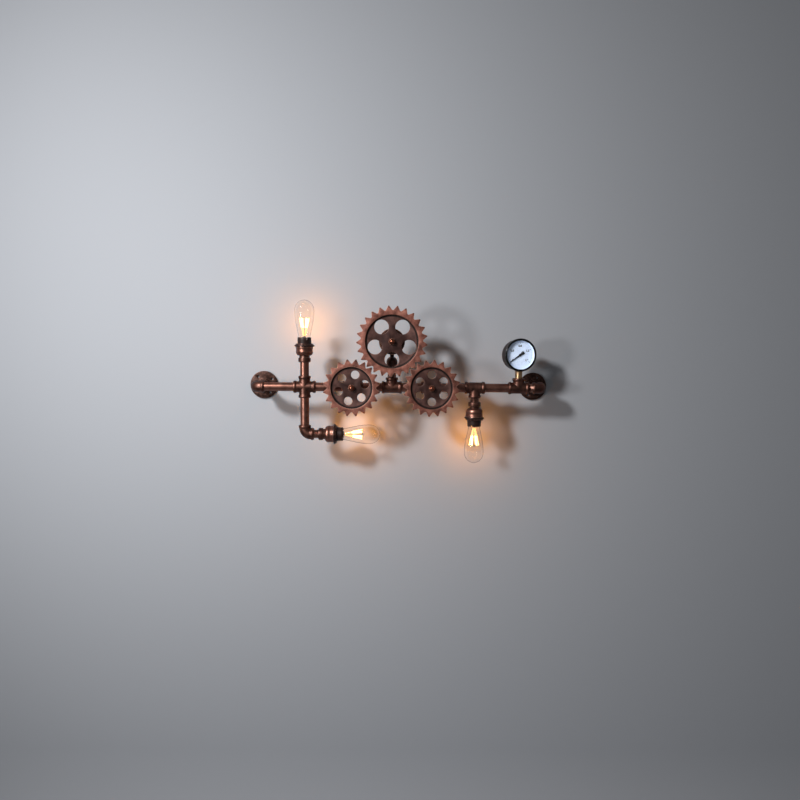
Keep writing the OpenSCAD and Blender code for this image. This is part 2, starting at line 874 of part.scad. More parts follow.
module gauge_stem() {
    inside = case_r - case_wall;
    shoulder = stem_h - bezel_wall - over;
    color(brass) {
        at_main(gauge_x, tee_reach - engage) cylinder(d = pipe_d, h = engage);
        at_main(gauge_x, tee_reach) cylinder(d = stem_d, h = shoulder);
        at_main(gauge_x, tee_reach + shoulder) rotate([0, 0, gauge_turn])
            translate([-stem_af / 2, -stem_af / 2, 0]) cube([stem_af, stem_af, stem_h - shoulder - seat_gap]);
        at_main(gauge_x, tee_reach) cylinder(d = neck_d, h = stem_h + 2 * case_wall);
        at_gauge() translate([-block_half, over - inside, block_back])
            cube([2 * block_half, inside - over + block_top, block_front - block_back]);
    }
}

module gauge_case() {
    inner_r = case_r - case_wall;
    edge = 3;
    color(aged_copper) at_gauge() difference() {
        rotate_extrude() polygon([
            [0, case_back], [case_r - edge, case_back], [case_r - edge / 3, case_back + edge / 3],
            [case_r, case_back + edge], [case_r, case_front], [inner_r, case_front],
            [inner_r, case_back + case_wall], [0, case_back + case_wall]
        ]);
        rotate([90, 0, 0]) cylinder(d = neck_d + 2 * seat_gap, h = case_r + over);
    }
}

module gauge_bezel() {
    lip_z = case_front + window_t;
    skirt = 3;
    edge = 1;
    color(black) at_gauge() rotate_extrude() polygon([
        [case_r + seat_gap, case_front - skirt], [gauge_d / 2, case_front - skirt],
        [gauge_d / 2, lip_z + bezel_lip - edge],
        [gauge_d / 2 - edge, lip_z + bezel_lip], [case_r - case_wall + edge, lip_z + bezel_lip],
        [case_r - case_wall, lip_z], [case_r + seat_gap, lip_z]
    ]);
}

module gauge_window() {
    color(clear_glass) at_gauge() translate([0, 0, case_front]) cylinder(r = case_r, h = window_t);
}

module gauge_dial() {
    color(dial_white) at_gauge() translate([0, 0, dial_back]) difference() {
        cylinder(r = case_r - case_wall - dial_seat, h = dial_t);
        translate([0, 0, -over]) cylinder(r = 2 * arbor_r, h = dial_t + 2 * over);
    }
}

// Pointer with a club tail, its arbor and the pinion that the sector drives
module gauge_pointer() {
    blade_gap = 1.2;
    blade_z = dial_back + dial_t + blade_gap;
    blade_t = 0.8;
    hub_rise = 0.4;
    tail = 12;
    club = 3.8;
    waist = 1.8;
    point = 0.7;
    hub_r = 3;
    pinion_gap = 0.6;
    pinion_z = block_back + pinion_gap;
    pinion_h = block_front - block_back - 2 * pinion_gap;
    color(black) at_gauge() {
        translate([0, 0, blade_z]) linear_extrude(blade_t) rotate([0, 0, pointer_rest]) polygon([
            [-tail, -club], [-0.6 * tail, -club], [-hub_r, -waist], [pointer_len, -point],
            [pointer_len, point], [-hub_r, waist], [-0.6 * tail, club], [-tail, club]
        ]);
        translate([0, 0, blade_z - hub_rise]) cylinder(r = hub_r, h = blade_t + 3 * hub_rise);
        translate([0, 0, block_back - plate_t]) cylinder(r = arbor_r, h = blade_z - block_back + plate_t);
        translate([0, 0, pinion_z]) linear_extrude(pinion_h)
            gear_outline(pinion_teeth, sector_module,
                         mesh_phase(-90, -90 - sector_sweep / 2, sector_teeth, pinion_teeth));
    }
}

// Two plates that clasp the stem's block and carry the pinion and the sector
module gauge_movement() {
    clasp = 10;
    low = block_top - clasp;
    post_r = 1.5;
    post_in = 2;
    color(brass) at_gauge() difference() {
        union() {
            for (z = [block_back - plate_t, block_front])
                translate([-plate_half_w, low, z]) cube([2 * plate_half_w, plate_top - low, plate_t]);
            for (x = [-1, 1])
                translate([x * (plate_half_w - post_in), plate_top - post_in, block_back - plate_t / 2])
                    cylinder(r = post_r, h = block_front - block_back + plate_t);
        }
        for (y = [0, sector_arm]) translate([0, y, block_back - plate_t - over])
            cylinder(r = arbor_r + run_fit, h = block_front - block_back + 2 * plate_t + 2 * over);
    }
}

// Toothed sector on its own arbor, above the pinion
module gauge_sector() {
    margin = 9;
    half = sector_sweep / 2 + margin;
    rest = -90 - sector_sweep / 2;
    far = 2 * sector_arm;
    sector_lift = 2;
    sector_t = 3;
    sector_z = block_back + sector_lift;
    color(brass) at_gauge() translate([0, sector_arm, 0]) {
        translate([0, 0, sector_z]) linear_extrude(sector_t) {
            intersection() {
                gear_outline(sector_teeth, sector_module, rest);
                polygon([[0, 0], polar(far, rest - half), polar(far, rest), polar(far, rest + half)]);
            }
            circle(r = 3 * arbor_r);
        }
        translate([0, 0, block_back - plate_t])
            cylinder(r = arbor_r, h = block_front - block_back + 2 * plate_t);
    }
}

// Curved pressure tube from the stem's block round the movement
module gauge_bourdon_tube() {
    coil_room = 8;
    block_gap = 0.3;
    sweep = 235;
    tube_t = 2.4;
    tube_w = 7;
    coil_r = case_r - case_wall - coil_room;
    start = -90 + asin((block_half + block_gap) / coil_r);
    color(brass) at_gauge() translate([0, 0, (block_back + block_front - tube_w) / 2]) rotate([0, 0, start])
        rotate_extrude(angle = sweep) translate([coil_r, 0]) square([tube_t, tube_w]);
}

// Leads of the three lamps, from the left flange through the pipes to their lampholders

// Points of a polyline whose inner corners are rounded with radius r
function rounded(p, r) = [
    for (i = [0 : len(p) - 1])
        if (i == 0 || i == len(p) - 1) p[i]
        else let (a = (p[i - 1] - p[i]) / norm(p[i - 1] - p[i]),
                  b = (p[i + 1] - p[i]) / norm(p[i + 1] - p[i]))
            for (s = [0 : 15 : 90]) p[i] + r * ((1 - sin(s)) * a + (1 - cos(s)) * b)
];

// Direction of a path at point i, and an eight-sided ring square to it
function heading(p, i) = let (d = p[min(i + 1, len(p) - 1)] - p[max(i - 1, 0)]) d / norm(d);
function ring(p, i) = let (t = heading(p, i), c = cross(t, [1, 1, 1]), u = c / norm(c), v = cross(t, u))
    [for (a = [0 : 45 : 315]) p[i] + lead_r * (cos(a) * u + sin(a) * v)];

module lead(route) {
    path = rounded(route, lead_bend);
    sides = 8;
    last = len(path) - 1;
    skin = [for (i = [0 : last - 1], k = [0 : sides - 1])
        let (a = i * sides + k, b = i * sides + (k + 1) % sides)
            each [[a, b, b + sides], [a, b + sides, a + sides]]];
    polyhedron(
        [for (i = [0 : last]) each ring(path, i)],
        concat(skin, [[for (k = [0 : sides - 1]) sides - 1 - k]],
               [[for (k = [0 : sides - 1]) last * sides + k]])
    );
}

module lamp_leads() {
    end_in = base_z;
    inner_y = lead_side - wall_gap;
    outer_y = -lead_side - wall_gap;
    up_x = cross_x - lead_rise;
    color(lead_brown) {
        lead([[lead_side, -over, lead_rise], [lead_side, inner_y, lead_rise], [up_x, inner_y, lead_rise],
              [up_x, inner_y, cross_reach + upper_pipe_len + end_in]]);
        lead([[lead_side, -over, -lead_rise], [lead_side, inner_y, -lead_rise], [up_x, inner_y, -lead_rise],
              [up_x, inner_y, low_z - lead_rise],
              [cross_x + elbow_reach + lower_nipple_len + end_in, inner_y, low_z - lead_rise]]);
        lead([[-lead_side, -over, 0], [-lead_side, outer_y, 0], [lamp_x, outer_y, 0],
              [lamp_x, outer_y, -(tee_reach + hang_nipple_len + end_in)]]);
    }
}

left_flange();
right_flange();
left_wall_elbow();
right_wall_elbow();
lower_elbow();
pipe_nipples();
left_pipe();
cross_pipe();
left_gear_pipe();
right_gear_pipe();
lamp_pipe();
gauge_pipe();
upper_pipe();
drop_pipe();
pipe_cross();
left_gear_tee();
middle_tee();
right_gear_tee();
lamp_tee();
gauge_tee();
gear_tee_plugs();
riser_cap();
riser_rod();
gear_boss();
gear_studs();
gear_washers();
gear_nuts();
big_gear();
left_gear();
right_gear();
holder_adapters();
upper_cup();
lower_cup();
hanging_cup();
shade_rings();
upper_holder_shell();
lower_holder_shell();
hanging_holder_shell();
screw_shells();
contact_bases();
upper_bulb_glass();
upper_bulb_cap();
upper_bulb_filament();
lower_bulb_glass();
lower_bulb_cap();
lower_bulb_filament();
hanging_bulb_glass();
hanging_bulb_cap();
hanging_bulb_filament();
gauge_stem();
gauge_case();
gauge_bezel();
gauge_window();
gauge_dial();
gauge_pointer();
gauge_movement();
gauge_sector();
gauge_bourdon_tube();
lamp_leads();
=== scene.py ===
import json
import math

import bpy
from mathutils import Matrix, Vector


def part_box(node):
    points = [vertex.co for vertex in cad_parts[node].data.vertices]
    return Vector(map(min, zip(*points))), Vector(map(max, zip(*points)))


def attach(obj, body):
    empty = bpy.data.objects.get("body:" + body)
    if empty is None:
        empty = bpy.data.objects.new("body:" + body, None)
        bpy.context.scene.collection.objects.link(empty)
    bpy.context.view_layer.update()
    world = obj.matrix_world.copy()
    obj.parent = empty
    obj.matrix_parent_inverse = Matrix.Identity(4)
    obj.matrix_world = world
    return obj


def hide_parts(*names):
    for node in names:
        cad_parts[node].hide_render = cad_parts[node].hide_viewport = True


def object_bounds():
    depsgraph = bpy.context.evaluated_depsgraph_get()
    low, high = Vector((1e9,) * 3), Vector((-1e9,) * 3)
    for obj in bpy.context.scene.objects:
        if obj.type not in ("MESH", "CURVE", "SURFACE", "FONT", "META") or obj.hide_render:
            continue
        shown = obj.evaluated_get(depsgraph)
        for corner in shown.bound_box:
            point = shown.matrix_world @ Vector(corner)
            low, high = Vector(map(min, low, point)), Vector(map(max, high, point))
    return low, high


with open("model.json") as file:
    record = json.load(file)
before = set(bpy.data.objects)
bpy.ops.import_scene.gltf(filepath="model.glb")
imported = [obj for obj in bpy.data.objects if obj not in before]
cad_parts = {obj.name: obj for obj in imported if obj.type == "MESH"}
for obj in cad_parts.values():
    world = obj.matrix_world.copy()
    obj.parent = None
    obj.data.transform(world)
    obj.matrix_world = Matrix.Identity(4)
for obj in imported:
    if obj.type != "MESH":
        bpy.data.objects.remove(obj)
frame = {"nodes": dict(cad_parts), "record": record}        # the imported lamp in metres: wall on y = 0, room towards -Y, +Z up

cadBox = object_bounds()
scene = bpy.context.scene
nodes = frame["nodes"]
joints = {joint["name"]: joint for joint in frame["record"]["behaviour"]["joints"]}
mm = 0.001
print("frame loaded:", len(nodes), "nodes")


# Working steps that every piece uses

working = {"mergeGap": 0.002, "poleGap": 0.005, "flatAngle": 0.5, "sharpAngle": 28}  # mm and degrees


def onlyActive(piece):
    if bpy.context.object and bpy.context.object.mode != "OBJECT":
        bpy.ops.object.mode_set(mode="OBJECT")
    bpy.ops.object.select_all(action="DESELECT")
    piece.select_set(True)
    bpy.context.view_layer.objects.active = piece


def editAll(piece):
    onlyActive(piece)
    bpy.ops.object.mode_set(mode="EDIT")
    bpy.ops.mesh.select_all(action="SELECT")


def shape(piece, kind, **settings):  # adds one modifier and applies it
    onlyActive(piece)
    step = piece.modifiers.new(kind, kind)
    for key, value in settings.items():
        setattr(step, key, value)
    bpy.ops.object.modifier_apply(modifier=step.name)


def smoothed(piece, angle):
    onlyActive(piece)
    bpy.ops.object.shade_smooth_by_angle(angle=math.radians(angle))
    return piece


def edgesBroken(piece, width):  # rounds every sharp edge by a width in mm
    shape(piece, "BEVEL", width=width * mm, segments=3, limit_method="ANGLE",
          angle_limit=math.radians(working["sharpAngle"]))
    return smoothed(piece, angle=40)


def copyNode(node, name):  # a merged copy of a CAD node's mesh, free to be reshaped
    mesh = nodes[node].data.copy()
    mesh.materials.clear()
    piece = bpy.data.objects.new(name, mesh)
    scene.collection.objects.link(piece)
    onlyActive(piece)
    bpy.ops.mesh.customdata_custom_splitnormals_clear()
    editAll(piece)
    bpy.ops.mesh.remove_doubles(threshold=working["mergeGap"] * mm)
    bpy.ops.mesh.dissolve_limited(angle_limit=math.radians(working["flatAngle"]))
    bpy.ops.object.mode_set(mode="OBJECT")
    return piece


def spun(name, outline, steps):  # outline of (radius, height) in mm, turned about +Z
    mesh = bpy.data.meshes.new(name)
    points = [(radius * mm, 0, height * mm) for radius, height in outline]
    mesh.from_pydata(points, [(i, i + 1) for i in range(len(points) - 1)], [])
    piece = bpy.data.objects.new(name, mesh)
    scene.collection.objects.link(piece)
    editAll(piece)
    bpy.ops.mesh.spin(steps=steps, angle=2 * math.pi, center=(0, 0, 0), axis=(0, 0, 1))
    bpy.ops.mesh.select_all(action="SELECT")
    bpy.ops.mesh.remove_doubles(threshold=working["poleGap"] * mm)
    bpy.ops.mesh.normals_make_consistent(inside=False)
    bpy.ops.object.mode_set(mode="OBJECT")
    return piece


def arcPoints(centre, radius, start, end, count):  # round stretch of an outline, angles in degrees
    turns = [math.radians(start + (end - start) * i / count) for i in range(count + 1)]
    return [(centre[0] + radius * math.cos(turn), centre[1] + radius * math.sin(turn)) for turn in turns]


def turnedBox(angle, place, size):  # box of a size at a place in mm, turned about +Z by degrees
    bpy.ops.object.select_all(action="DESELECT")
    bpy.ops.mesh.primitive_cube_add(size=1)
    box = bpy.context.active_object
    box.data.transform(Matrix.Rotation(math.radians(angle), 4, "Z") @ Matrix.Translation(Vector(place) * mm)
                       @ Matrix.Diagonal((*(Vector(size) * mm), 1)))
    return box


def joined(name, pieces):
    onlyActive(pieces[0])
    for piece in pieces:
        piece.select_set(True)
    bpy.ops.object.join()
    pieces[0].name = name
    return pieces[0]


def copyPlaced(model, name, matrix):
    piece = bpy.data.objects.new(name, model.data.copy())
    scene.collection.objects.link(piece)
    piece.data.transform(matrix)
    return piece


def discard(piece):
    bpy.data.objects.remove(piece, do_unlink=True)


def finished(piece, material, body, slot, *replaced):
    if not piece.data.materials:
        piece.data.materials.append(material)
    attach(piece, body)
    if replaced:
        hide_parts(*replaced)
    return piece


def camel(name):  # the scene's name for a CAD node
    head, *rest = name.split("_")
    return head + "".join(word.title() for word in rest)


def boxSize(node):  # in mm
    low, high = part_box(node)
    return (high - low) / mm


# Materials

def hexColor(code):  # sRGB hex to linear
    values = [int(code[i:i + 2], 16) / 255 for i in (1, 3, 5)]
    return [v / 12.92 if v <= 0.04045 else ((v + 0.055) / 1.055) ** 2.4 for v in values] + [1]


def addNode(material, kind, inputs=None, steps=(), **settings):  # steps: a ramp's (place, hex) pairs
    node = material.node_tree.nodes.new("ShaderNode" + kind)
    for key, value in settings.items():
        setattr(node, key, value)
    for key, value in (inputs or {}).items():
        if isinstance(value, bpy.types.NodeSocket):
            material.node_tree.links.new(value, node.inputs[key])
        else:
            node.inputs[key].default_value = value
    if steps:
        elements = node.color_ramp.elements
        while len(elements) < len(steps):
            elements.new(0.5)
        for element, (place, code) in zip(elements, steps):
            element.position = place
            element.color = hexColor(code)
    return node


def newMaterial(name, **sockets):  # Principled shader with its constant values set on its own sockets
    material = bpy.data.materials.new(name)
    material.use_nodes = True
    shader = material.node_tree.nodes["Principled BSDF"]
    for key, value in sockets.items():
        shader.inputs[key.replace("_", " ")].default_value = value
    return material, shader


skin = {  # of every worn metal: places of its three tones, lean of a rubbed edge, pits in mm
    "tones": (0.30, 0.52, 0.74), "edgeFrom": 0.995, "edgeFull": 0.88, "edgeSamples": 6,
    "dullFrom": 0.3, "dullFull": 0.7, "pitDepth": 0.2, "lacquerRough": 0.35}


def metalSkin(material, shader, place, look, base=None):
    # plated or browned metal: dark in patches, rubbed back to bright copper on its edges; on the gears that
    # bright edge is also a painted highlight
    link = material.node_tree.links.new
    patch = addNode(material, "TexNoise", {"Vector": place, "Scale": 1 / (look["patch"] * mm), "Detail": 5.0,
                                           "Roughness": 0.6}).outputs["Fac"]
    grain = addNode(material, "TexNoise", {"Vector": place, "Scale": 1 / (look["grain"] * mm),
                                           "Detail": 3.0}).outputs["Fac"]
    if base:
        color = base(patch)
    else:
        tones = list(zip(skin["tones"], (look["dark"], look["body"], look["light"])))
        color = addNode(material, "ValToRGB", {"Fac": patch}, tones).outputs["Color"]
    soft = addNode(material, "Bevel", {"Radius": look["edge"] * mm}, samples=skin["edgeSamples"])
    real = addNode(material, "NewGeometry")
    lean = addNode(material, "VectorMath", {0: soft.outputs["Normal"], 1: real.outputs["Normal"]},
                   operation="DOT_PRODUCT")
    edge = addNode(material, "MapRange", {"Value": lean.outputs["Value"], "From Min": skin["edgeFrom"],
                                          "From Max": skin["edgeFull"], "To Max": look["rub"]})
    wearAndHighlightMask = addNode(material, "Math", {0: edge.outputs["Result"], 1: grain}, operation="MULTIPLY")
    wornAndHighlit = addNode(material, "Mix", {"Factor": wearAndHighlightMask.outputs["Value"], "A": color,
                                     "B": hexColor(look["rubbedAndHighlit"])}, data_type="RGBA")
    link(wornAndHighlit.outputs["Result"], shader.inputs["Base Color"])
    rough = addNode(material, "MapRange", {"Value": patch, "From Min": skin["dullFrom"],
                                           "From Max": skin["dullFull"],
                                           "To Min": look["rough"][0], "To Max": look["rough"][1]})
    link(rough.outputs["Result"], shader.inputs["Roughness"])
    bump = addNode(material, "Bump", {"Height": grain, "Strength": look["bump"],
                                      "Distance": skin["pitDepth"] * mm})
    link(bump.outputs["Normal"], shader.inputs["Normal"])


def wornMetal(name, look):  # darkens at grazing angles as browned metal does, under a thin lacquer
    material, shader = newMaterial(name, Metallic=look["metallic"], Specular_Tint=hexColor(look["grazing"]),
                                   Coat_Weight=look["lacquer"], Coat_Roughness=skin["lacquerRough"])
    metalSkin(material, shader, addNode(material, "TexCoord").outputs["Object"], look)
    return material


# Patch, grain and edge are widths in mm
antiqueCopper = wornMetal("antique_copper_plate", {  # plated pipe: brown, soft sheen, pink copper on edges
    "metallic": 1.0, "patch": 16, "grain": 1.6, "edge": 1.4, "rub": 1.5, "bump": 0.10, "lacquer": 0.5,
    "dark": "#70483a", "body": "#946252", "light": "#ac7a69", "rubbedAndHighlit": "#e8bca8", "rough": (0.32, 0.40),
    "grazing": "#4a3e3a"})
castCopper = wornMetal("antique_copper_casting", {  # cast fittings: darker, pitted skin, bright rubbed beads
    "metallic": 1.0, "patch": 12, "grain": 1.1, "edge": 1.8, "rub": 2.2, "bump": 0.25, "lacquer": 0.5,
    "dark": "#4a2d24", "body": "#6c4437", "light": "#8a5c4d", "rubbedAndHighlit": "#e8bca8", "rough": (0.38, 0.46),
    "grazing": "#4a3e3a"})
darkIron = wornMetal("browned_cast_iron", {  # flanges and carriers: mottled brown bronze
    "metallic": 0.8, "patch": 6, "grain": 1.2, "edge": 1.4, "rub": 1.5, "bump": 0.5, "lacquer": 0.1,
    "dark": "#211613", "body": "#412d27", "light": "#6a4c43", "rubbedAndHighlit": "#c08f7c", "rough": (0.42, 0.54),
    "grazing": "#4a3e3a"})
# on the riser cap this near black is painted shade, for the shadow of the big gear in front of it
ringBronze = wornMetal("dark_bronze", {  # shade rings, riser cap and gauge case: nearly black brown
    "metallic": 0.9, "patch": 8, "grain": 1.2, "edge": 1.0, "rub": 1.5, "bump": 0.25, "lacquer": 0.6,
    "dark": "#2c1a16", "body": "#4a2e27", "light": "#66443a", "rubbedAndHighlit": "#a87866", "rough": (0.40, 0.50),
    "grazing": "#4a3e3a"})
polishedCopper = wornMetal("polished_copper", {  # domed nuts: bright and warm
    "metallic": 1.0, "patch": 6, "grain": 0.9, "edge": 0.8, "rub": 0.8, "bump": 0.08, "lacquer": 0.3,
    "dark": "#8c4a36", "body": "#b26a50", "light": "#c98467", "rubbedAndHighlit": "#e8baa2", "rough": (0.24, 0.32),
    "grazing": "#b0a09a"})
agedBrass = wornMetal("aged_brass", {  # gauge stem, screw shells, movement: dull yellow
    "metallic": 1.0, "patch": 8, "grain": 0.9, "edge": 0.8, "rub": 0.9, "bump": 0.1, "lacquer": 0.3,
    "dark": "#866548", "body": "#b8956f", "light": "#d2b08c", "rubbedAndHighlit": "#f0dcc0", "rough": (0.26, 0.36),
    "grazing": "#a09484"})
turnedSteel = wornMetal("zinc_plated_steel", {  # studs and lamp wires: pale grey
    "metallic": 1.0, "patch": 6, "grain": 0.7, "edge": 0.5, "rub": 0.6, "bump": 0.08, "lacquer": 0.0,
    "dark": "#7c7c7e", "body": "#9a9a9c", "light": "#b4b4b4", "rubbedAndHighlit": "#d8d8d8", "rough": (0.25, 0.38),
    "grazing": "#ffffff"})

speckle = {"tones": (0.35, 0.65), "pitDepth": 0.1}  # places of the two tones, and mm


def speckled(name, look):  # moulded or glazed skin: one colour, slightly uneven, fine bump
    material, shader = newMaterial(name, Metallic=0.0, IOR=1.5, Specular_IOR_Level=look["shine"])
    link = material.node_tree.links.new
    place = addNode(material, "TexCoord").outputs["Object"]
    grain = addNode(material, "TexNoise", {"Vector": place, "Scale": 1 / (look["grain"] * mm),
                                           "Detail": 4.0}).outputs["Fac"]
    tones = list(zip(speckle["tones"], (look["dark"], look["light"])))
    link(addNode(material, "ValToRGB", {"Fac": grain}, tones).outputs["Color"], shader.inputs["Base Color"])
    rough = addNode(material, "MapRange", {"Value": grain, "To Min": look["rough"][0],
                                           "To Max": look["rough"][1]})
    link(rough.outputs["Result"], shader.inputs["Roughness"])
    bump = addNode(material, "Bump", {"Height": grain, "Strength": look["bump"],
                                      "Distance": speckle["pitDepth"] * mm})
    link(bump.outputs["Normal"], shader.inputs["Normal"])
    return material


mouldedBlack = speckled("moulded_phenolic", {  # lampholder shell: brown black, dull
    "grain": 1.2, "dark": "#1c100d", "light": "#351f19", "rough": (0.42, 0.58), "bump": 0.2, "shine": 0.35})
blackEnamel = speckled("black_enamel", {  # bezel: gloss black
    "grain": 2.0, "dark": "#08080a", "light": "#111113", "rough": (0.2, 0.3), "bump": 0.05, "shine": 0.4})
pointerBlack = speckled("matt_black_enamel", {  # pointer: dead black
    "grain": 1.0, "dark": "#08080a", "light": "#101012", "rough": (0.55, 0.7), "bump": 0.05, "shine": 0.2})
glazedCeramic = speckled("glazed_ceramic", {  # contact bases: cream, glossy
    "grain": 3.0, "dark": "#ded8cc", "light": "#f0ece2", "rough": (0.12, 0.2), "bump": 0.05, "shine": 0.5})
dialEnamel = speckled("white_dial_enamel", {  # gauge face: cool white, matt
    "grain": 4.0, "dark": "#c8d7ee", "light": "#d4e1f6", "rough": (0.5, 0.6), "bump": 0.05, "shine": 0.2})
dialInk = speckled("printed_black_ink", {  # dial marks: soft black, flat
    "grain": 0.8, "dark": "#16181c", "light": "#262a30", "rough": (0.5, 0.7), "bump": 0.1, "shine": 0.5})
braidedSleeve = speckled("braided_lead_sleeve", {  # leads: brown cotton, rough
    "grain": 0.9, "dark": "#2a1a10", "light": "#5a3a22", "rough": (0.7, 0.9), "bump": 0.6, "shine": 0.5})

ripples = {"width": 22, "depth": 0.4, "strength": 0.12}  # mm


def clearGlass(name, tint, roughness):  # soda glass, with faint ripples of its making
    material, shader = newMaterial(name, Metallic=0.0, IOR=1.45, Transmission_Weight=1.0, Roughness=roughness,
                                   Base_Color=hexColor(tint))
    place = addNode(material, "TexCoord").outputs["Object"]
    ripple = addNode(material, "TexNoise", {"Vector": place, "Scale": 1 / (ripples["width"] * mm),
                                            "Detail": 1.0})
    bump = addNode(material, "Bump", {"Height": ripple.outputs["Fac"], "Strength": ripples["strength"],
                                      "Distance": ripples["depth"] * mm})
    material.node_tree.links.new(bump.outputs["Normal"], shader.inputs["Normal"])
    return material


bulbGlass = clearGlass("blown_bulb_glass", "#fffefc", 0.0)  # bulbs: clear and thin
windowGlass = clearGlass("flat_window_glass", "#ffffff", 0.0)  # gauge window: clear
stemGlass = clearGlass("pressed_stem_glass", "#fff2dc", 0.05)  # stems in the bulbs: faintly amber

beads = {"length": 3, "tones": (0.25, 0.6)}  # mm, and places of the cool and hot tones


def glowing(name, cool, hot, strength):  # lit wire or strand, uneven along its length
    material, shader = newMaterial(name, Roughness=0.5, Emission_Strength=strength)
    link = material.node_tree.links.new
    place = addNode(material, "TexCoord").outputs["Object"]
    heat = addNode(material, "TexNoise", {"Vector": place, "Scale": 1 / (beads["length"] * mm),
                                          "Detail": 2.0})
    tones = list(zip(beads["tones"], (cool, hot)))
    color = addNode(material, "ValToRGB", {"Fac": heat.outputs["Fac"]}, tones).outputs["Color"]
    link(color, shader.inputs["Emission Color"])
    link(color, shader.inputs["Base Color"])
    return material


filamentGlow = glowing("lit_filament", "#ffc870", "#ffe0a4", 3.6)  # strands: yellow white
leadGlow = glowing("lit_lead_in", "#ffb452", "#ffd28a", 1.5)  # wires to the strands: amber
print("materials made:", len(bpy.data.materials))


# Fittings: castings with soft edges, made from the CAD shapes

castPieces = {
    "nodes": ["left_wall_elbow", "right_wall_elbow", "lower_elbow", "pipe_cross", "left_gear_tee",
              "middle_tee", "right_gear_tee", "lamp_tee", "gauge_tee"],
    "voxel": 0.9, "softening": 0.5, "rounds": 3}  # voxel in mm

for node in castPieces["nodes"]:
    casting = copyNode(node, camel(node))
    shape(casting, "REMESH", mode="VOXEL", voxel_size=castPieces["voxel"] * mm)
    shape(casting, "SMOOTH", factor=castPieces["softening"], iterations=castPieces["rounds"])
    finished(smoothed(casting, angle=80), castCopper, "pipe_frame", "aged_copper_pipe", node)
print("castings softened")


# Machined pieces: the CAD shapes with their edges broken

edgedPieces = {  # node: bevel in mm, material, body, slot
    "left_flange": (1.0, darkIron, "pipe_frame", "dark_bronze_iron"),
    "right_flange": (1.0, darkIron, "pipe_frame", "dark_bronze_iron"),
    "gear_tee_plugs": (0.8, darkIron, "pipe_frame", "dark_bronze_iron"),
    # the riser cap's near black bronze is painted shade of the big gear
    "riser_cap": (0.8, ringBronze, "pipe_frame", "dark_bronze_iron"),
    "gear_boss": (0.8, darkIron, "pipe_frame", "dark_bronze_iron"),
    "gear_nuts": (0.35, polishedCopper, "pipe_frame", "nut_copper"),
    "holder_adapters": (0.8, castCopper, "pipe_frame", "holder_copper"),
    "gauge_case": (0.7, ringBronze, "pipe_frame", "gauge_copper"),
    "gauge_stem": (0.6, agedBrass, "pipe_frame", "bare_brass"),
    "gauge_pointer": (0.12, pointerBlack, "gauge_pointer", "gauge_black"),
}

for node, (width, material, body, slot) in edgedPieces.items():
    finished(edgesBroken(copyNode(node, camel(node)), width), material, body, slot, node)
print("machined edges broken")


# Gears: bevelled teeth, rounded web holes, red copper rim and browned web

gearLook = {  # lengths in mm, and those of the rim's start and of the dark band of dirt and painted shade are from the dish's wall outwards
    "bevel": 0.7, "holeBevel": 1.4, "holeReach": 0.6, "holeAngle": 60, "hubClear": 9, "toothDepth": 10.5,
    "rimWall": {"big_gear": 11, "left_gear": 7.5, "right_gear": 7.5},
    "rimStart": (-0.5, -0.1), "dishDirtAndShadeStart": -6, "dishDirtAndShadeFull": (-3, -0.3), "dishDirtAndShadeEnd": 0.2, "tipWidth": 6,
    # on the gears the bright edges are wear and a painted highlight on the rim's inner edge
    "metallic": 0.5, "patch": 14, "grain": 1.4, "edge": 2.0, "rub": 1.5, "bump": 0.3, "rough": (0.44, 0.54),
    "rim": [(0.34, "#633a30"), (0.52, "#8f584a"), (0.70, "#aa7160")],
    "web": [(0.30, "#4c332d"), (0.52, "#67463f"), (0.74, "#7b564c")],
    "middle": "#a89c9a", "middleShare": 0.5, "bare": "#ffffff", "dirt": "#3a2a26", "tip": "#8a7068",
    "rubbedAndHighlit": "#dca892"}
gearJoints = {"big_gear": "big_gear_spin", "left_gear": "left_gear_spin", "right_gear": "right_gear_spin"}


def gearPaint(name, hub, dish, tip):
    # painted cast iron: red copper rim, browned web, dirt on the tips, and in the dish's corner a dark band
    # of dirt and painted shade
    material, shader = newMaterial(name, Metallic=gearLook["metallic"])
    place = addNode(material, "TexCoord").outputs["Object"]
    centred = addNode(material, "Mapping", {"Vector": place, "Location": -hub})
    flat = addNode(material, "VectorMath", {0: centred.outputs["Vector"], 1: (1, 0, 1)}, operation="MULTIPLY")
    out = addNode(material, "VectorMath", {0: flat.outputs["Vector"]}, operation="LENGTH").outputs["Value"]

    def share(fromWall):  # a place in mm from the dish's wall, as a share of the gear's radius
        return (dish + fromWall * mm) / tip

    def base(patch):
        onRim = addNode(material, "MapRange", {"Value": out, "From Min": dish + gearLook["rimStart"][0] * mm,
                                               "From Max": dish + gearLook["rimStart"][1] * mm})
        web = addNode(material, "ValToRGB", {"Fac": patch}, gearLook["web"])
        rim = addNode(material, "ValToRGB", {"Fac": patch}, gearLook["rim"])
        paint = addNode(material, "Mix", {"Factor": onRim.outputs["Result"], "A": web.outputs["Color"],
                                          "B": rim.outputs["Color"]}, data_type="RGBA")
        along = addNode(material, "MapRange", {"Value": out, "From Max": tip})
        # the dark band at the dish's corner is dirt and painted shade, where the rim would shade the web
        shade = addNode(material, "ValToRGB", {"Fac": along.outputs["Result"]}, [
            (0, gearLook["middle"]), (gearLook["middleShare"] * dish / tip, gearLook["middle"]),
            (share(gearLook["dishDirtAndShadeStart"]), gearLook["bare"]),
            (share(gearLook["dishDirtAndShadeFull"][0]), gearLook["dirt"]),
            (share(gearLook["dishDirtAndShadeFull"][1]), gearLook["dirt"]),
            (share(gearLook["dishDirtAndShadeEnd"]), gearLook["bare"]),
            ((tip - gearLook["tipWidth"] * mm) / tip, gearLook["bare"]), (1, gearLook["tip"])])
        return addNode(material, "Mix", {"Factor": 1.0, "A": paint.outputs["Result"],
                                         "B": shade.outputs["Color"]},
                       data_type="RGBA", blend_type="MULTIPLY").outputs["Result"]

    metalSkin(material, shader, place, gearLook, base)
    return material


